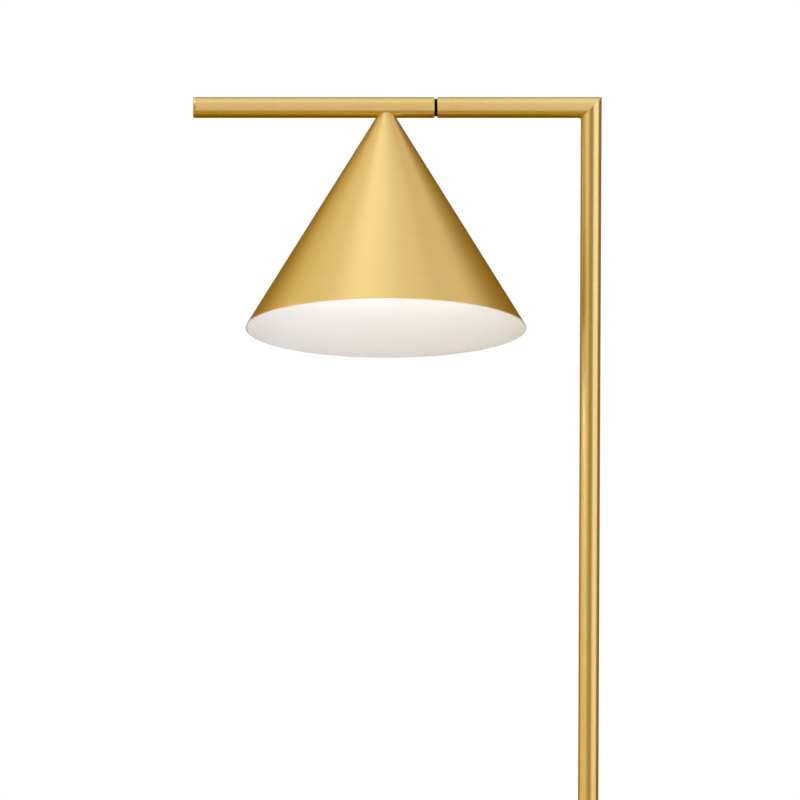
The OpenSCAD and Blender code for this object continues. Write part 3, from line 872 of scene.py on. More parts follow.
@dataclass
class Base:
    """The weighted base: foam pad, spun cover, cord inlet, and the plates and wiring inside."""

    axes: LampAxes
    sheet: float = 1.5 * MM
    edge: float = 5 * MM
    pad_edge: float = 0.6 * MM
    lip: float = 0.3 * MM
    bush_edge: float = 0.6 * MM
    flange: float = 2 * MM
    flange_reach: float = 1.6 * MM
    top_rings: tuple[float, ...] = (0.35, 0.7, 0.95)

    def cover(self) -> Piece:
        """Makes the spun cover, with its rounded edge and its three holes.

        Returns:
            The cover.
        """
        size = self.axes.base.span("base_cover")
        out, top, inside = size.outer, size.high, size.outer - self.sheet
        outline = [(0.0, top)]
        outline += [(out * share - self.edge, top) for share in self.top_rings]
        outline += arc(out - self.edge, top - self.edge, self.edge, 90, 0, steps=10)
        outline += arc(out - self.lip, size.low + self.lip, self.lip, 0, -90, steps=3)
        outline += [(inside, size.low)]
        outline += arc(out - self.edge, top - self.edge, self.edge - self.sheet, 0, 90, steps=8)
        outline += [(0.0, top - self.sheet)]
        shell = turned("base_shell", outline, self.axes.base, steps=256)
        under, over = size.low, top + self.edge
        stud, sleeve = self.axes.post.span("post_stud").outer, self.axes.button.span("bezel_nut").inner
        bush = self.axes.inlet.span("inlet_bush")
        bits = [
            drill_bit("stud_hole", self.axes.post, stud, under, over),
            drill_bit("switch_hole", self.axes.button, sleeve, under, over),
            drill_bit("inlet_hole", self.axes.inlet, bush.outer - self.flange_reach, bush.low, bush.high),
        ]
        return coat(drilled(shell, self.axes.base, bits), SATIN_BRASS)

    def pad(self) -> Piece:
        """Makes the foam pad with softened edges.

        Returns:
            The pad.
        """
        size = self.axes.base.span("base_pad")
        outline = [(0.0, size.high)]
        outline += arc(size.outer - self.pad_edge, size.high - self.pad_edge, self.pad_edge, 90, 0, 4)
        outline += arc(size.outer - self.pad_edge, size.low + self.pad_edge, self.pad_edge, 0, -90, 4)
        outline += [(0.0, size.low)]
        return coat(turned("foot_pad", outline, self.axes.base, steps=192), FOAM_PAD)

    def inlet(self) -> Piece:
        """Makes the cord inlet bush, with a rounded flange and a flared mouth.

        Returns:
            The bush.
        """
        size = self.axes.inlet.span("inlet_bush")
        barrel, shelf, edge = size.outer - self.flange_reach, size.high - self.flange, self.bush_edge
        outline = [(size.inner, size.low), (barrel, size.low), (barrel, shelf), (size.outer, shelf)]
        outline += arc(size.outer - edge, size.high - edge, edge, 0, 90, 5)
        outline += arc(size.inner + edge, size.high - edge, edge, 90, 180, 5)
        return coat(turned("cord_inlet", outline, self.axes.inlet, steps=64), BLACK_NYLON)

    def build(self) -> None:
        """Makes and dresses the base."""
        install(self.cover(), Body.ROOT, "satin_brass", "base_cover")
        install(self.pad(), Body.ROOT, "foam_pad", "base_pad")
        install(self.inlet(), Body.ROOT, "black_nylon", "inlet_bush")
        dress(CAST_IRON, "base_weight")
        dress(ZINC_STEEL, "base_plate", "plate_screws", "stud_washer", "stud_nut", "bezel_nut")
        dress(BLACK_NYLON, "switch_body")
        dress(WHITE_PLASTIC, "terminal_block")
        dress(NICKEL_CAP, "terminal_screws")
        dress(CORE_COLOURS, "base_cores", "switch_wires")


@dataclass
class FootSwitch:
    """The foot switch's bezel and button, and the spring under the button.

    The dish's shape is pairs of a share of the cap's radius and a share of the dish's depth. A closed turn
    of the spring rises by closed_rise times the wire's radius.
    """

    axes: LampAxes
    beads: MakerTree
    dish: float = 0.7 * MM
    dish_shape: tuple[tuple[float, float], ...] = ((0.0, 1.0), (0.35, 0.9), (0.6, 0.65), (0.78, 0.25))
    edge: float = 1.5 * MM
    skin: float = 3 * MM
    skirt: float = 6.5 * MM
    retainer: float = 1.5 * MM
    retainer_out: float = 1.3 * MM
    plunger: float = 3.5 * MM
    spring_room: float = 11 * MM
    bezel_edge: float = 1 * MM
    bezel_mouth: float = 0.4 * MM
    bezel_step: float = 2 * MM
    button_gap: float = 0.2 * MM
    grip_count: int = 4
    grip_first: float = 2.5 * MM
    grip_step: float = 2.4 * MM
    grip_bead: float = 0.35 * MM
    grip_rise: float = 0.13
    spring_turns: float = 5.0
    spring_steps: int = 32
    wire_sides: int = 12
    closed_rise: float = 2.05
    travel: float = 4 * MM

    def bezel(self) -> Piece:
        """Makes the bezel: a rounded flange on the cover and a sleeve through it.

        Returns:
            The bezel.
        """
        axis = self.axes.button
        size = axis.span("button_bezel")
        deck = self.axes.base.span("base_cover").high
        sleeve = axis.span("bezel_nut").inner
        wide, edge = size.inner + self.retainer_out + self.button_gap, self.bezel_edge
        step, mouth = deck - self.bezel_step, self.bezel_mouth
        outline = [(size.inner, size.high - mouth), (size.inner + mouth, size.high)]
        outline += arc(size.outer - edge, size.high - edge, edge, 90, 0, 6)
        outline += [(size.outer, deck), (sleeve, deck), (sleeve, size.low), (wide, size.low)]
        outline += [(wide, step), (size.inner, step)]
        return coat(turned("switch_bezel", outline, axis), TURNED_BRASS)

    def button(self) -> Piece:
        """Makes the button: a dished cap with a retaining skirt and a plunger inside.

        Returns:
            The button.
        """
        axis = self.axes.button
        size = axis.span("foot_button")
        side, room = size.outer - self.retainer_out, self.spring_room
        top, hollow = size.high, size.high - self.skin
        ledge = top - self.skirt - self.retainer
        outline = [(side * out, top - self.dish * deep) for out, deep in self.dish_shape]
        outline += arc(side - self.edge, top - self.edge, self.edge, 90, 0, 8)
        outline += [(side, ledge), (size.outer, ledge), (size.outer, ledge - self.retainer)]
        outline += [(room, ledge - self.retainer), (room, hollow), (self.plunger, hollow)]
        outline += [(self.plunger, size.low), (0.0, size.low)]
        return coat(turned("switch_button", outline, axis), TURNED_BRASS)

    def grip(self) -> Piece:
        """Makes the rings of beading on the button's dished top.

        Returns:
            The rings.
        """
        axis = self.axes.button
        top = axis.span("foot_button").high
        values = {
            "Count": self.grip_count, "First Radius": self.grip_first, "Radius Step": self.grip_step,
            "First Height": top - self.dish, "Height Step": self.dish * self.grip_rise,
            "Bead Radius": self.grip_bead, "Finish": TURNED_BRASS.material(),
        }
        return self.beads.make("switch_grip_rings", axis, values)

    def spring(self) -> Piece:
        """Winds the spring under the button, with a closed turn at each end.

        Returns:
            The spring.
        """
        axis = self.axes.button
        size = axis.span("button_spring")
        wire, coil = (size.outer - size.inner) / 2, (size.outer + size.inner) / 2
        low, rise = size.low + wire, size.high - size.low - 2 * wire
        steps = int(self.spring_turns * self.spring_steps)
        closed = self.closed_rise * wire / rise
        rings = []
        for i in range(steps + 1):
            turns = i / self.spring_steps
            from_end = min(turns, self.spring_turns - turns)
            inner_share = (turns - 1) / (self.spring_turns - 2)
            share = closed + (1 - 2 * closed) * min(max(inner_share, 0.0), 1.0)
            if from_end < 1:
                share = closed * from_end if turns < 1 else 1 - closed * from_end
            angle, height = FULL_TURN * turns, low + rise * share
            reach = wire if 0 < i < steps else 0.0
            rings.append([
                axis.point(coil + reach * math.cos(a), height + reach * math.sin(a), angle)
                for a in (FULL_TURN * side / self.wire_sides for side in range(self.wire_sides))
            ])
        return coat(lofted("switch_spring", rings, axis, round_trip=False), SPRING_STEEL)

    def build(self) -> None:
        """Makes and dresses the foot switch."""
        install(self.bezel(), Body.ROOT, "turned_brass", "button_bezel")
        install(self.button(), Body.BUTTON, "turned_brass", "foot_button")
        install(self.grip(), Body.BUTTON, "turned_brass")
        spring = install(self.spring(), Body.ROOT, "spring_steel", "button_spring")
        size = self.axes.button.span("button_spring")
        foot = self.axes.button.point(0.0, size.low, 0.0)
        keep = 1 - self.travel / (size.high - size.low)
        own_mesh(spring)


# ---- Post and arm ----


@dataclass
class PostAndArm:
    """The two lengths of the post, the fixed arm on its mitre, and the swivelling arm."""

    axes: LampAxes
    edge: float = 0.9 * MM
    edge_lean: float = 0.5
    seam: float = 0.3 * MM
    cap_seam: float = 0.15 * MM
    braze: float = 2.2 * MM
    braze_degrees: float = 75
    braze_steps: int = 12
    braze_sides: int = 8
    braze_sunk: float = 0.2 * MM
    collar_edge: float = 1.2 * MM
    ring_edge: float = 0.15 * MM

    def tube(
        self, name: str, node: str, axis: Axis, low_edge: float, high_edge: float, trim: Trim | None = None
    ) -> Piece:
        """Makes a tube with a chamfer at each end.

        Args:
            name: The piece's name.
            node: The node of the frame that gives its sizes.
            axis: The tube's axis.
            low_edge: The chamfer at its lower end.
            high_edge: The chamfer at its upper end.
            trim: Moves the points past a mitre.

        Returns:
            The tube.
        """
        size, stock = axis.span(node), self.axes.post.span("post_lower_tube")
        bore, out = stock.inner, stock.outer
        outline = [(bore, size.low), (out - low_edge * self.edge_lean, size.low)]
        if low_edge:
            outline.append((out, size.low + low_edge))
        if high_edge:
            outline.append((out, size.high - high_edge))
        outline += [(out - high_edge * self.edge_lean, size.high), (bore, size.high)]
        return coat(turned(name, outline, axis, steps=128, trim=trim), SATIN_BRASS)

    def mitre_post(self, point: Vector) -> Vector:
        """Lowers a point of the post to the mitre's plane if it stands past it."""
        corner = self.axes.arm.origin
        return Vector((point.x, point.y, min(point.z, corner.z + point.x - corner.x)))

    def mitre_arm(self, point: Vector) -> Vector:
        """Draws a point of the arm back to the mitre's plane if it stands past it."""
        corner = self.axes.arm.origin
        return Vector((min(point.x, corner.x + point.z - corner.z), point.y, point.z))

    def corner_fillet(self) -> Piece:
        """Makes the dressed fillet in the inside of the mitre, tangent to both tubes.

        Returns:
            The fillet.
        """
        out = self.axes.post.span("post_lower_tube").outer
        corner = self.axes.arm.origin
        rings = []
        for step in range(-self.braze_steps, self.braze_steps + 1):
            angle = math.radians(self.braze_degrees) * step / self.braze_steps
            fade = math.cos(math.radians(90) * step / self.braze_steps)
            size, sunk = self.braze * fade, self.braze_sunk * fade
            crease = corner + Vector((-out * math.cos(angle), out * math.sin(angle), -out * math.cos(angle)))
            quarter = arc(-size, -size, size, 0, 90, self.braze_sides)
            ring = [crease + Vector((x, 0, z)) for x, z in quarter]
            rings.append([*ring, crease + Vector((sunk, 0, sunk))])
        return coat(lofted("mitre_fillet", rings, self.axes.post, round_trip=False), BRAZING)

    def collar(self) -> Piece:
        """Makes the turned collar at the foot of the post.

        Returns:
            The collar.
        """
        size = self.axes.post.span("post_collar")
        edge = self.collar_edge
        outline = [(size.inner, size.low), (size.outer, size.low)]
        outline += arc(size.outer - edge, size.high - edge, edge, 0, 90, 6)
        outline += [(size.inner + self.seam, size.high), (size.inner, size.high - self.seam)]
        return coat(turned("foot_collar", outline, self.axes.post), TURNED_BRASS)

    def end_cap(self) -> Piece:
        """Makes the cap that closes the arm, with its rounded edge and its skirt in the tube.

        Returns:
            The cap.
        """
        size = self.axes.arm.span("arm_end_cap")
        skirt = self.axes.post.span("post_lower_tube").inner - PLAY
        seat = self.axes.arm.span("swivel_arm_tube").high
        edge, seam = self.edge, self.cap_seam
        outline = [(0.0, size.low), (skirt, size.low), (skirt, seat), (size.outer - seam, seat)]
        outline += [(size.outer, seat + seam)]
        outline += arc(size.outer - edge, size.high - edge, edge, 0, 90, 8)
        outline += [(0.0, size.high)]
        return coat(turned("arm_cap", outline, self.axes.arm), TURNED_BRASS)

    def swivel_tube(self) -> Piece:
        """Makes the swivelling arm tube, with the hole under it for the shade's bush.

        Returns:
            The tube.
        """
        arm, shade = self.axes.arm, self.axes.shade
        piece = self.tube("swivel_arm", "swivel_arm_tube", arm, self.edge, self.cap_seam)
        bush = shade.span("holder_bush")
        bit = drill_bit("bush_hole", shade, bush.outer + PLAY, bush.low - MM, 0.0)
        return coat(drilled(piece, arm, [bit]), SATIN_BRASS)

    def ring(self) -> Piece:
        """Makes the black ring that shows in the gap between the two arm tubes.

        Returns:
            The ring.
        """
        size = self.axes.arm.span("joint_ring")
        edge = self.ring_edge
        outline = [(size.inner, size.low), (size.outer - edge, size.low), (size.outer, size.low + edge)]
        outline += [(size.outer, size.high - edge), (size.outer - edge, size.high), (size.inner, size.high)]
        return coat(turned("swivel_ring", outline, self.axes.arm), BLACK_NYLON)

    def build(self) -> None:
        """Makes and dresses the post, the arm and the swivel."""
        axes = self.axes
        lower = self.tube("lower_post", "post_lower_tube", axes.post, 0, self.seam)
        upper = self.tube("upper_post", "post_upper_tube", axes.post, self.seam, 0, self.mitre_post)
        fixed = self.tube("fixed_arm", "fixed_arm_tube", axes.arm, 0, self.edge, self.mitre_arm)
        install(lower, Body.ROOT, "satin_brass", "post_lower_tube")
        install(upper, Body.ROOT, "satin_brass", "post_upper_tube")
        install(fixed, Body.ROOT, "satin_brass", "fixed_arm_tube")
        install(self.corner_fillet(), Body.ROOT, "satin_brass")
        install(self.collar(), Body.ROOT, "satin_brass", "post_collar")
        install(self.ring(), Body.ROOT, "black_nylon", "joint_ring")
        install(self.swivel_tube(), Body.HEAD, "satin_brass", "swivel_arm_tube")
        install(self.end_cap(), Body.HEAD, "satin_brass", "arm_end_cap")
        dress(ZINC_STEEL, "post_foot_plug", "post_stud", "coupler_socket", "coupler_stud", "root_plug")
        dress(ZINC_STEEL, "swivel_plug", "spindle_nut")
        dress(SPRING_STEEL, "stop_pin", "spindle", "spring_washer")
        dress(NICKEL_CAP, "friction_washer")
        dress(LEAD_SHEATH, "supply_lead", "swivel_lead")


# ---- Shade ----


@dataclass
class Shade:
    """The spun cone, brass outside and enamelled inside, saddled onto the arm."""

    axes: LampAxes
    wall: float = 1 * MM
    around: int = 257
    along: int = 49
    rim_steps: int = 9

    def tree(self) -> MakerTree:
        """Builds the tree for a conical shade that is cut to fit a round arm.

        Returns:
            The tree.
        """
        inputs = {
            "Around": self.around, "Along": self.along, "Rim Steps": self.rim_steps,
            "Outer Apex": 0.008, "Inner Apex": 0.006, "Drop": 0.2, "Slope": 0.6,
            "Half Angle": 0.5, "Wall": self.wall, "Arm Radius": 0.01,
        }
        maker = MakerTree("saddled_cone", inputs, ["Outside", "Inside"])
        tree, given = maker.tree, maker.given.outputs
        number = maker.number
        slope, drop, arm = number("Slope"), number("Drop"), number("Arm Radius")
        half_wall = number("Wall") / 2
        rise = number("Half Angle").work("SINE")
        rim_height = half_wall - drop

        def top_depth(apex: Field, turn: Field) -> Field:
            """Works out where a face of the cone meets the arm's round underside.

            Args:
                apex: The height of the face's point.
                turn: The angle round the shade.

            Returns:
                The depth below the point.
            """
            side = slope * turn.work("SINE")
            spread = side * side + 1
            under = apex * apex - spread * (apex * apex - arm * arm)
            return (apex + under.work("SQRT")) / spread

        def wall_skin(apex: Field, normal: float) -> Node:
            """Makes one face of the sheet, from the saddle to where the rim's rounding starts.

            Args:
                apex: The height of the face's point.
                normal: 1 for the outer face and -1 for the inner one.

            Returns:
                The node that has the face.
            """
            mesh, along, turn = maker.grid(given["Along"], given["Around"])
            low = apex - (rim_height + half_wall * rise * normal)
            depth = top_depth(apex, turn).mix(low, along)
            return maker.turned(mesh, depth * slope, apex - depth, turn)

        outer_apex, inner_apex = number("Outer Apex"), number("Inner Apex")
        outside = wall_skin(outer_apex, 1.0)
        inside = wall_skin(inner_apex, -1.0)
        mesh, along, turn = maker.grid(given["Rim Steps"], given["Around"])
        swing = number("Half Angle") - along * math.pi
        rim_radius = (inner_apex + (outer_apex - inner_apex) / 2 - rim_height) * slope
        rim = maker.turned(
            mesh,
            rim_radius + half_wall * swing.work("COSINE"),
            rim_height + half_wall * swing.work("SINE"),
            turn,
        )
        mesh, along, turn = maker.grid(given["Rim Steps"], given["Around"])
        outer_top, inner_top = top_depth(outer_apex, turn), top_depth(inner_apex, turn)
        lip = maker.turned(
            mesh,
            (outer_top * slope).mix(inner_top * slope, along),
            (outer_apex - outer_top).mix(inner_apex - inner_top, along),
            turn,
        )
        joined = tree.nodes.new("GeometryNodeJoinGeometry")
        for skin, is_inside in ((outside, False), (rim, True), (lip, False), (inside, True)):
            mark = {"Geometry": skin.outputs[0], "Name": "inside", "Value": is_inside}
            kept = {"data_type": "BOOLEAN", "domain": "FACE"}
            marked = add(tree, "GeometryNodeStoreNamedAttribute", mark, **kept)
            tree.links.new(marked.outputs[0], joined.inputs[0])
        welded = {"Geometry": joined.outputs[0], "Distance": MERGE_GAP}
        merged = add(tree, "GeometryNodeMergeByDistance", welded)
        flag = add(tree, "GeometryNodeInputNamedAttribute", {"Name": "inside"}, data_type="BOOLEAN")
        white = Field(tree, next(o for o in flag.outputs if o.enabled and o.name == "Attribute"))
        maker.finish(merged.outputs[0], {"Outside": None, "Inside": white})
        return maker

    def build(self) -> None:
        """Makes and dresses the shade."""
        axis = self.axes.shade
        size = axis.span("shade")
        arm = self.axes.post.span("post_lower_tube").outer + PLAY
        crown = math.sqrt(arm ** 2 - size.high ** 2)
        slope = (size.outer - crown) / (size.high - size.low)
        half_angle = math.atan(slope)
        apex = size.outer / slope + size.low
        values = {
            "Outer Apex": apex, "Inner Apex": apex - self.wall / math.sin(half_angle),
            "Drop": -size.low, "Slope": slope, "Half Angle": half_angle, "Wall": self.wall,
            "Arm Radius": arm, "Outside": SPUN_BRASS.material(), "Inside": WHITE_ENAMEL.material(),
        }
        LOG.info("shade: slope %.4f, point %.1f mm over the arm's axis", slope, apex / MM)
        install(self.tree().make("shade_cone", axis, values), Body.HEAD, "satin_brass", "shade")


# ---- Lamp holder and bulb ----


@dataclass
class LampHolder:
    """The lamp holder: its cap, its ribbed body, and the contacts inside."""

    axes: LampAxes
    beads: MakerTree
    wall: float = 2.2 * MM
    neck: float = 9 * MM
    neck_height: float = 6 * MM
    band: float = 2 * MM
    lip: float = 1.5 * MM
    lip_height: float = 3 * MM
    edge: float = 0.6 * MM
    cove: tuple[float, float] = (0.6 * MM, 0.5 * MM)
    shoulder_bend: Sequence[tuple[float, float]] = ((-0.6 * MM, 0.7 * MM), (-0.1 * MM, 0.0), (0.0, -0.4 * MM))
    bore_step: float = 2 * MM
    body_edge: float = 0.2 * MM
    rib_count: int = 5
    rib_step: float = 3 * MM
    rib_bead: float = 0.6 * MM

    def cap(self) -> Piece:
        """Makes the holder's conical cap with its neck on the nipple.

        Returns:
            The cap.
        """
        size = self.axes.shade.span("holder_cap")
        out, edge = size.outer, self.edge
        shoulder = size.low + self.band
        foot = size.high - self.neck_height
        outline = [(size.inner, size.high)]
        outline += arc(self.neck - edge, size.high - edge, edge, 90, 0, 4)
        outline += [(self.neck, foot), (self.neck + self.cove[0], foot - self.cove[1])]
        outline += [(out + x, shoulder + z) for x, z in self.shoulder_bend]
        outline += [(out, size.low), (out - self.wall, size.low), (out - self.wall, shoulder)]
        outline += [(size.inner + self.bore_step, foot - self.wall), (size.inner, foot - self.wall)]
        return coat(turned("holder_top", outline, self.axes.shade, steps=96), WHITE_PLASTIC)

    def body(self) -> Piece:
        """Makes the holder's body with a rolled lip round its mouth.

        Returns:
            The body.
        """
        size = self.axes.shade.span("holder_body")
        lip_out, edge, bevel = size.outer, self.edge, self.body_edge
        out, bore = lip_out - self.lip, size.inner
        ledge = size.low + self.lip_height
        outline = [(bore, size.high), (out - bevel, size.high), (out, size.high - bevel)]
        outline += [(out, ledge + edge), (out + edge * 0.3, ledge + edge * 0.3), (out + edge, ledge)]
        outline += arc(lip_out - edge, ledge - edge, edge, 90, 0, 4)
        outline += arc(lip_out - edge, size.low + edge, edge, 0, -90, 4)
        outline += arc(bore + edge, size.low + edge, edge, -90, -180, 4)
        return coat(turned("holder_shell", outline, self.axes.shade, steps=96), WHITE_PLASTIC)

    def ribs(self) -> Piece:
        """Makes the grip ribs round the body.

        Returns:
            The ribs.
        """
        size = self.axes.shade.span("holder_body")
        values = {
            "Count": self.rib_count, "First Radius": size.outer - self.lip,
            "First Height": size.low + self.lip_height + self.rib_step, "Height Step": self.rib_step,
            "Bead Radius": self.rib_bead, "Finish": WHITE_PLASTIC.material(),
        }
        return self.beads.make("holder_ribs", self.axes.shade, values)

    def build(self) -> None:
        """Makes and dresses the holder."""
        install(self.cap(), Body.HEAD, "white_plastic", "holder_cap")
        install(self.body(), Body.HEAD, "white_plastic", "holder_body")
        install(self.ribs(), Body.HEAD, "white_plastic")
        dress(NICKEL_CAP, "holder_bush", "screw_shell", "centre_contact")
        dress(ZINC_STEEL, "holder_nipple")
        dress(CORE_COLOURS, "holder_cores")
        dress(WHITE_CERAMIC, "contact_disc")


@dataclass
class Bulb:
    """The bulb: its rolled screw cap, its housing and its opal globe.

    The thread's depth runs out towards both ends, faster with a larger run_out, and row_slack is how near
    to an end a row of points counts as on it.
    """

    axes: LampAxes
    thread_depth: float = 0.9 * MM
    pitch: float = 3.6 * MM
    run_out: float = 24
    row_slack: float = 0.005
    neck: float = 14.5 * MM
    neck_edge: float = 0.8 * MM
    wall: float = 1.5 * MM
    groove: float = 0.25 * MM

    def thread_tree(self) -> MakerTree:
        """Builds the tree for a rolled thread: a tube whose radius rises and falls along a helix.

        Returns:
            The tree.
        """
        inputs = {
            "Around": 97, "Along": 121, "Low": 0.0, "High": 0.02,
            "Crest Radius": 0.013, "Depth": self.thread_depth, "Pitch": self.pitch,
        }
        maker = MakerTree("rolled_thread", inputs, ["Finish"])
        given, number = maker.given.outputs, maker.number
        mesh, along, turn = maker.grid(given["Along"], given["Around"])
        rows = number("Along") - 1
        inner = (along * rows - 1) / (rows - 2)
        share = inner.work("MAXIMUM", 0.0).work("MINIMUM", 1.0)
        height = number("Low").mix(number("High"), share)
        wave = ((height - number("Low")) / number("Pitch") * FULL_TURN - turn).work("COSINE")
        ends = (share * (share * -1 + 1) * self.run_out).work("MINIMUM", 1.0)
        radius = number("Crest Radius") - number("Depth") / 2 + wave * ends * number("Depth") / 2
        over_low = (inner + self.row_slack).work("GREATER_THAN", 0.0)
        under_high = (inner * -1 + 1 + self.row_slack).work("GREATER_THAN", 0.0)
        skin = maker.turned(mesh, radius * over_low * under_high, height, turn)
        welded = {"Geometry": skin.outputs[0], "Distance": MERGE_GAP}
        merged = add(maker.tree, "GeometryNodeMergeByDistance", welded)
        maker.finish(merged.outputs[0], {"Finish": None})
        return maker

    def screw_cap(self) -> Piece:
        """Makes the rolled screw cap.

        Returns:
            The cap.
        """
        size = self.axes.shade.span("bulb_screw_cap")
        values = {
            "Low": size.low, "High": size.high, "Crest Radius": size.outer, "Finish": NICKEL_CAP.material(),
        }
        return self.thread_tree().make("bulb_thread", self.axes.shade, values)

    def housing(self) -> Piece:
        """Makes the housing, a cone that runs into the globe, with a groove where they meet.

        Returns:
            The housing.
        """
        size = self.axes.shade.span("bulb_housing")
        neck, edge = self.neck, self.neck_edge
        outline = [(0.0, size.high), (neck - edge, size.high), (neck, size.high - edge)]
        outline += [(size.outer, size.low + self.groove), (size.outer - self.groove, size.low)]
        outline += [(size.outer - self.wall, size.low), (neck - self.wall, size.high - self.wall)]
        outline += [(0.0, size.high - self.wall)]
        return coat(turned("bulb_housing_shell", outline, self.axes.shade, steps=96), WHITE_PLASTIC)

    def globe(self) -> Piece:
        """Makes the opal globe as a shell.

        Returns:
            The globe.
        """
        size = self.axes.shade.span("bulb_globe")
        radius = size.outer
        centre = size.low + radius
        cut = math.degrees(math.asin((size.high - centre) / radius))
        outline = arc(0.0, centre, radius, -90, cut, 40) + arc(0.0, centre, radius - self.wall, cut, -90, 40)
        return coat(turned("bulb_globe_shell", outline, self.axes.shade, steps=96), OPAL_PLASTIC)

    def build(self) -> None:
        """Makes and dresses the bulb."""
        install(self.screw_cap(), Body.HEAD, "nickel_cap", "bulb_screw_cap")
        install(self.housing(), Body.HEAD, "white_plastic", "bulb_housing")
        install(self.globe(), Body.HEAD, "opal_plastic", "bulb_globe")
        dress(BLACK_NYLON, "bulb_tip")


# ---- Studio ----


@dataclass(frozen=True)
class SoftBox:
    """A patch of light on the studio's dome, by where the lamp sees it, in degrees."""

    azimuth: float
    elevation: float
    half_width: float
    half_height: float
    feather: float
    strength: float
    colour: str = "#FFFFFF"


# Azimuth is 0 towards the camera and grows towards +X.
SOFT_BOXES = (
    SoftBox(-70, 0, 45, 38, 14, 1.1, "#FFF6E8"),
    SoftBox(58, 0, 31, 38, 9, 2.1, "#E0E2FA"),
    SoftBox(0, 71, 28, 20, 8, 1.04, "#ECEEFF"),
    SoftBox(-138, 68, 28, 20, 10, 0.62, "#E4ECFF"),
    SoftBox(132, 56, 24, 22, 12, 0.36, "#F4F0F0"),
    SoftBox(-90, 84, 62, 14, 8, 0.3, "#DCE6FF"),
    SoftBox(-90, 68, 45, 28, 12, 0.36, "#DCE6FF"),
    SoftBox(90, 53, 45, 29, 12, 0.06),
    SoftBox(-150, 20, 30, 40, 14, 0.22, "#FFF2D8"),
    SoftBox(140, 20, 28, 35, 14, 0.15, "#FFF2D8"),
)


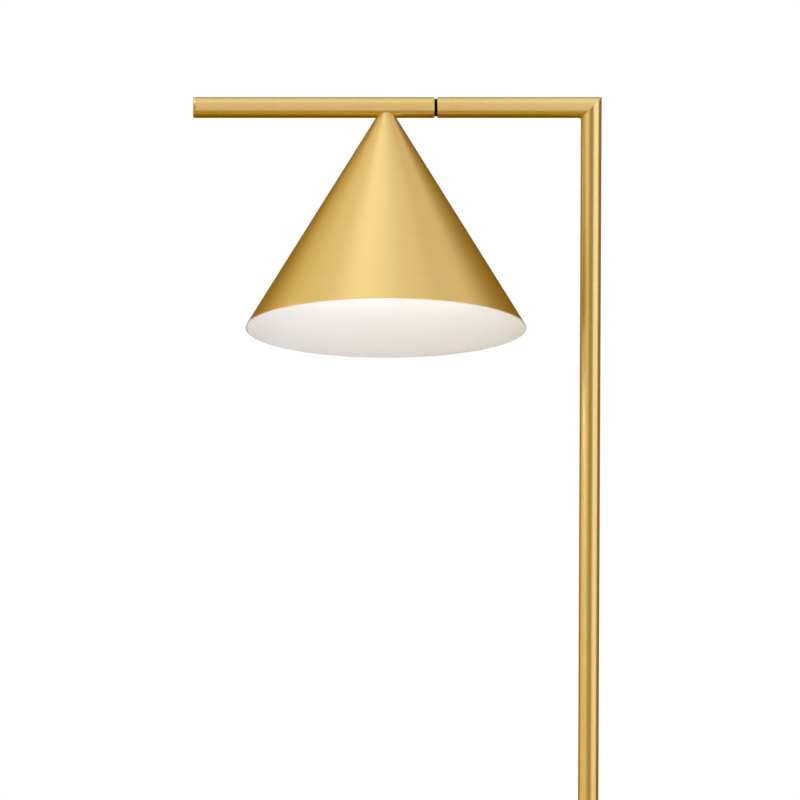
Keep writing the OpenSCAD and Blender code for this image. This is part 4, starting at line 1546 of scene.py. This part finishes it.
@dataclass
class Studio:
    """The pale floor, the dome of soft light and the camera."""

    axes: LampAxes
    floor_radius: float = 3.0
    floor_depth: float = 2 * MM
    floor_rings: tuple[float, ...] = (0.1, 0.25, 0.5, 1.0)
    fade_start: float = 0.7
    fade_end: float = 2.55
    floor_paint: str = "#ECEFF4"
    bounce: str = "#BCBFC4"
    # Painted reflection: glossy rays see the floor in a warm yellow-brown, darker towards the back, which
    # tints the brass's reflections.
    reflection_tint_front: str = "#BCAA3C"
    reflection_tint_back: str = "#7A6E12"
    reflection_tint_from: float = -1.0
    reflection_tint_to: float = 0.8
    fill: str = "#8E7C2C"
    key_watts: float = 15.0
    key_size: float = 2.4
    key_from: tuple[float, float, float] = (-1.2, -1.6, 2.6)
    camera_distance: float = 3.389
    camera_aside: float = 0.1846
    camera_pitch: float = 4.776
    focal_mm: float = 157.5
    sensor_mm: float = 36.0

    def camera(self) -> None:
        """Stands the camera level with the arm, in front of it and towards the shade."""
        data = bpy.data.cameras.new("camera")
        data.lens = self.focal_mm
        data.sensor_width = self.sensor_mm
        camera = bpy.data.objects.new("camera", data)
        arm = self.axes.arm.origin
        camera.location = (arm.x - self.camera_aside, -self.camera_distance, arm.z)
        camera.rotation_euler = (math.radians(90 - self.camera_pitch), 0, 0)
        bpy.context.scene.collection.objects.link(camera)
        bpy.context.scene.camera = camera

    def dome(self) -> None:
        """Lights the world with soft boxes, and shows the camera plain white behind the lamp."""
        world = bpy.data.worlds.new("studio")
        bpy.context.scene.world = world
        world.use_nodes = True
        tree = world.node_tree
        tree.nodes.clear()
        look = add(tree, "ShaderNodeTexCoord").outputs["Generated"]
        light = add(tree, "ShaderNodeRGB").outputs[0]
        light.default_value = linear(self.fill)
        for box in SOFT_BOXES:
            light = self.soft_box(tree, look, light, box)
        studio = add(tree, "ShaderNodeBackground", {"Color": light, "Strength": 1.0})
        plain = add(tree, "ShaderNodeBackground", {"Color": (1, 1, 1, 1), "Strength": 1.0})
        ray = add(tree, "ShaderNodeLightPath").outputs["Is Camera Ray"]
        mixed = add(tree, "ShaderNodeMixShader", {0: ray, 1: studio.outputs[0], 2: plain.outputs[0]})
        add(tree, "ShaderNodeOutputWorld", {"Surface": mixed.outputs[0]})

    def soft_box(self, tree: Tree, look: Socket, light: Socket, box: SoftBox) -> Socket:
        """Adds one soft box to the dome's light.

        Args:
            tree: The world's tree.
            look: The direction that is looked in.
            light: The light so far.
            box: The box to add.

        Returns:
            The light with the box added.
        """
        round_by, up_by = math.radians(box.azimuth), math.radians(box.elevation)
        level = Vector((math.sin(round_by), -math.cos(round_by), 0))
        ahead = level * math.cos(up_by) + Vector((0, 0, math.sin(up_by)))
        right = Vector((math.cos(round_by), math.sin(round_by), 0))
        above = right.cross(ahead)
        parts = []
        for direction in (right, ahead, above):
            dot = add(tree, "ShaderNodeVectorMath", {0: look, 1: direction}, operation="DOT_PRODUCT")
            parts.append(Field(tree, dot.outputs["Value"]))
        across = parts[0].work("ARCTAN2", parts[1]).work("ABSOLUTE")
        upward = parts[2].work("ARCSINE").work("ABSOLUTE")
        shares = []
        for angle, half in ((across, box.half_width), (upward, box.half_height)):
            inner, outer = math.radians(half - box.feather), math.radians(half + box.feather)
            edges = {"Value": angle, "From Min": inner, "From Max": outer, "To Min": 1.0, "To Max": 0.0}
            mapped = add(tree, "ShaderNodeMapRange", edges, interpolation_type="SMOOTHSTEP")
            shares.append(Field(tree, mapped.outputs[0]))
        colour = [c * box.strength for c in linear(box.colour)]
        added = {0: shares[0] * shares[1], 6: light, 7: colour}
        return add(tree, "ShaderNodeMix", added, data_type="RGBA", blend_type="ADD").outputs[2]

    def floor(self) -> None:
        """Makes the pale floor, which fades into the white behind it and shows glossy rays a painted warm
        reflection.
        """
        axis = self.axes.base
        outline = [(0.0, 0.0)] + [(self.floor_radius * share, 0.0) for share in self.floor_rings]
        outline += [(self.floor_radius, -self.floor_depth), (0.0, -self.floor_depth)]
        floor = turned("floor", outline, axis, steps=96)
        made = bpy.data.materials.new("pale_floor_paint")
        made.use_nodes = True
        tree = made.node_tree
        tree.nodes.clear()
        where = add(tree, "ShaderNodeTexCoord").outputs["Object"]
        away = add(tree, "ShaderNodeVectorMath", {0: where}, operation="LENGTH").outputs["Value"]
        fade = {"Value": away, "From Min": self.fade_start, "From Max": self.fade_end}
        share = add(tree, "ShaderNodeMapRange", fade, interpolation_type="SMOOTHSTEP").outputs[0]
        seen = add(tree, "ShaderNodeBsdfDiffuse", {"Color": linear(self.floor_paint)})
        white = add(tree, "ShaderNodeEmission", {"Color": (1, 1, 1, 1), "Strength": 1.0})
        shown = add(tree, "ShaderNodeMixShader", {0: share, 1: seen.outputs[0], 2: white.outputs[0]})
        # Painted reflection: only glossy rays see this warm yellow-brown, going from front to back, and it
        # tints the brass's reflections.
        depth = add(tree, "ShaderNodeSeparateXYZ", {0: where}).outputs[1]
        reach = {"Value": depth, "From Min": self.reflection_tint_from, "From Max": self.reflection_tint_to}
        back = add(tree, "ShaderNodeMapRange", reach).outputs[0]
        cloths = {0: back, 6: linear(self.reflection_tint_front), 7: linear(self.reflection_tint_back)}
        reflection_tint = add(tree, "ShaderNodeMix", cloths, data_type="RGBA").outputs[2]
        mirrored = add(tree, "ShaderNodeBsdfDiffuse", {"Color": reflection_tint})
        lit = add(tree, "ShaderNodeBsdfDiffuse", {"Color": linear(self.bounce)})
        rays = add(tree, "ShaderNodeLightPath").outputs
        unseen = {0: rays["Is Glossy Ray"], 1: lit.outputs[0], 2: mirrored.outputs[0]}
        hidden = add(tree, "ShaderNodeMixShader", unseen)
        both = {0: rays["Is Camera Ray"], 1: hidden.outputs[0], 2: shown.outputs[0]}
        mixed = add(tree, "ShaderNodeMixShader", both)
        add(tree, "ShaderNodeOutputMaterial", {"Surface": mixed.outputs[0]})
        floor.data.materials.append(made)

    def key(self) -> None:
        """Hangs a large soft light overhead, which lays the lamp's soft shadow and is in no reflection."""
        data = bpy.data.lights.new("overhead_key", "AREA")
        data.shape = "DISK"
        data.size = self.key_size
        data.energy = self.key_watts
        lamp = bpy.data.objects.new("overhead_key", data)
        goal = Vector((0, 0, self.axes.arm.origin.z / 2))
        lamp.location = goal + Vector(self.key_from)
        lamp.rotation_euler = (goal - lamp.location).to_track_quat("-Z", "Y").to_euler()
        lamp.visible_camera = False
        lamp.visible_glossy = False
        bpy.context.scene.collection.objects.link(lamp)

    def build(self) -> None:
        """Sets up the studio."""
        bpy.context.scene.view_settings.view_transform = "Standard"
        self.camera()
        self.dome()
        self.floor()
        self.key()


def main() -> None:
    """Builds the studio and the lamp, one sub-assembly after another."""
    logging.basicConfig(level=logging.INFO, format="%(name)s: %(message)s")
    axes = LampAxes.from_frame()
    beads = bead_ring_tree()
    assemblies = (
        Studio(axes), Base(axes), FootSwitch(axes, beads), PostAndArm(axes), Shade(axes),
        LampHolder(axes, beads), Bulb(axes),
    )
    for assembly in assemblies:
        LOG.info("building %s", type(assembly).__name__)
        assembly.build()


if __name__ == "__main__":
    main()
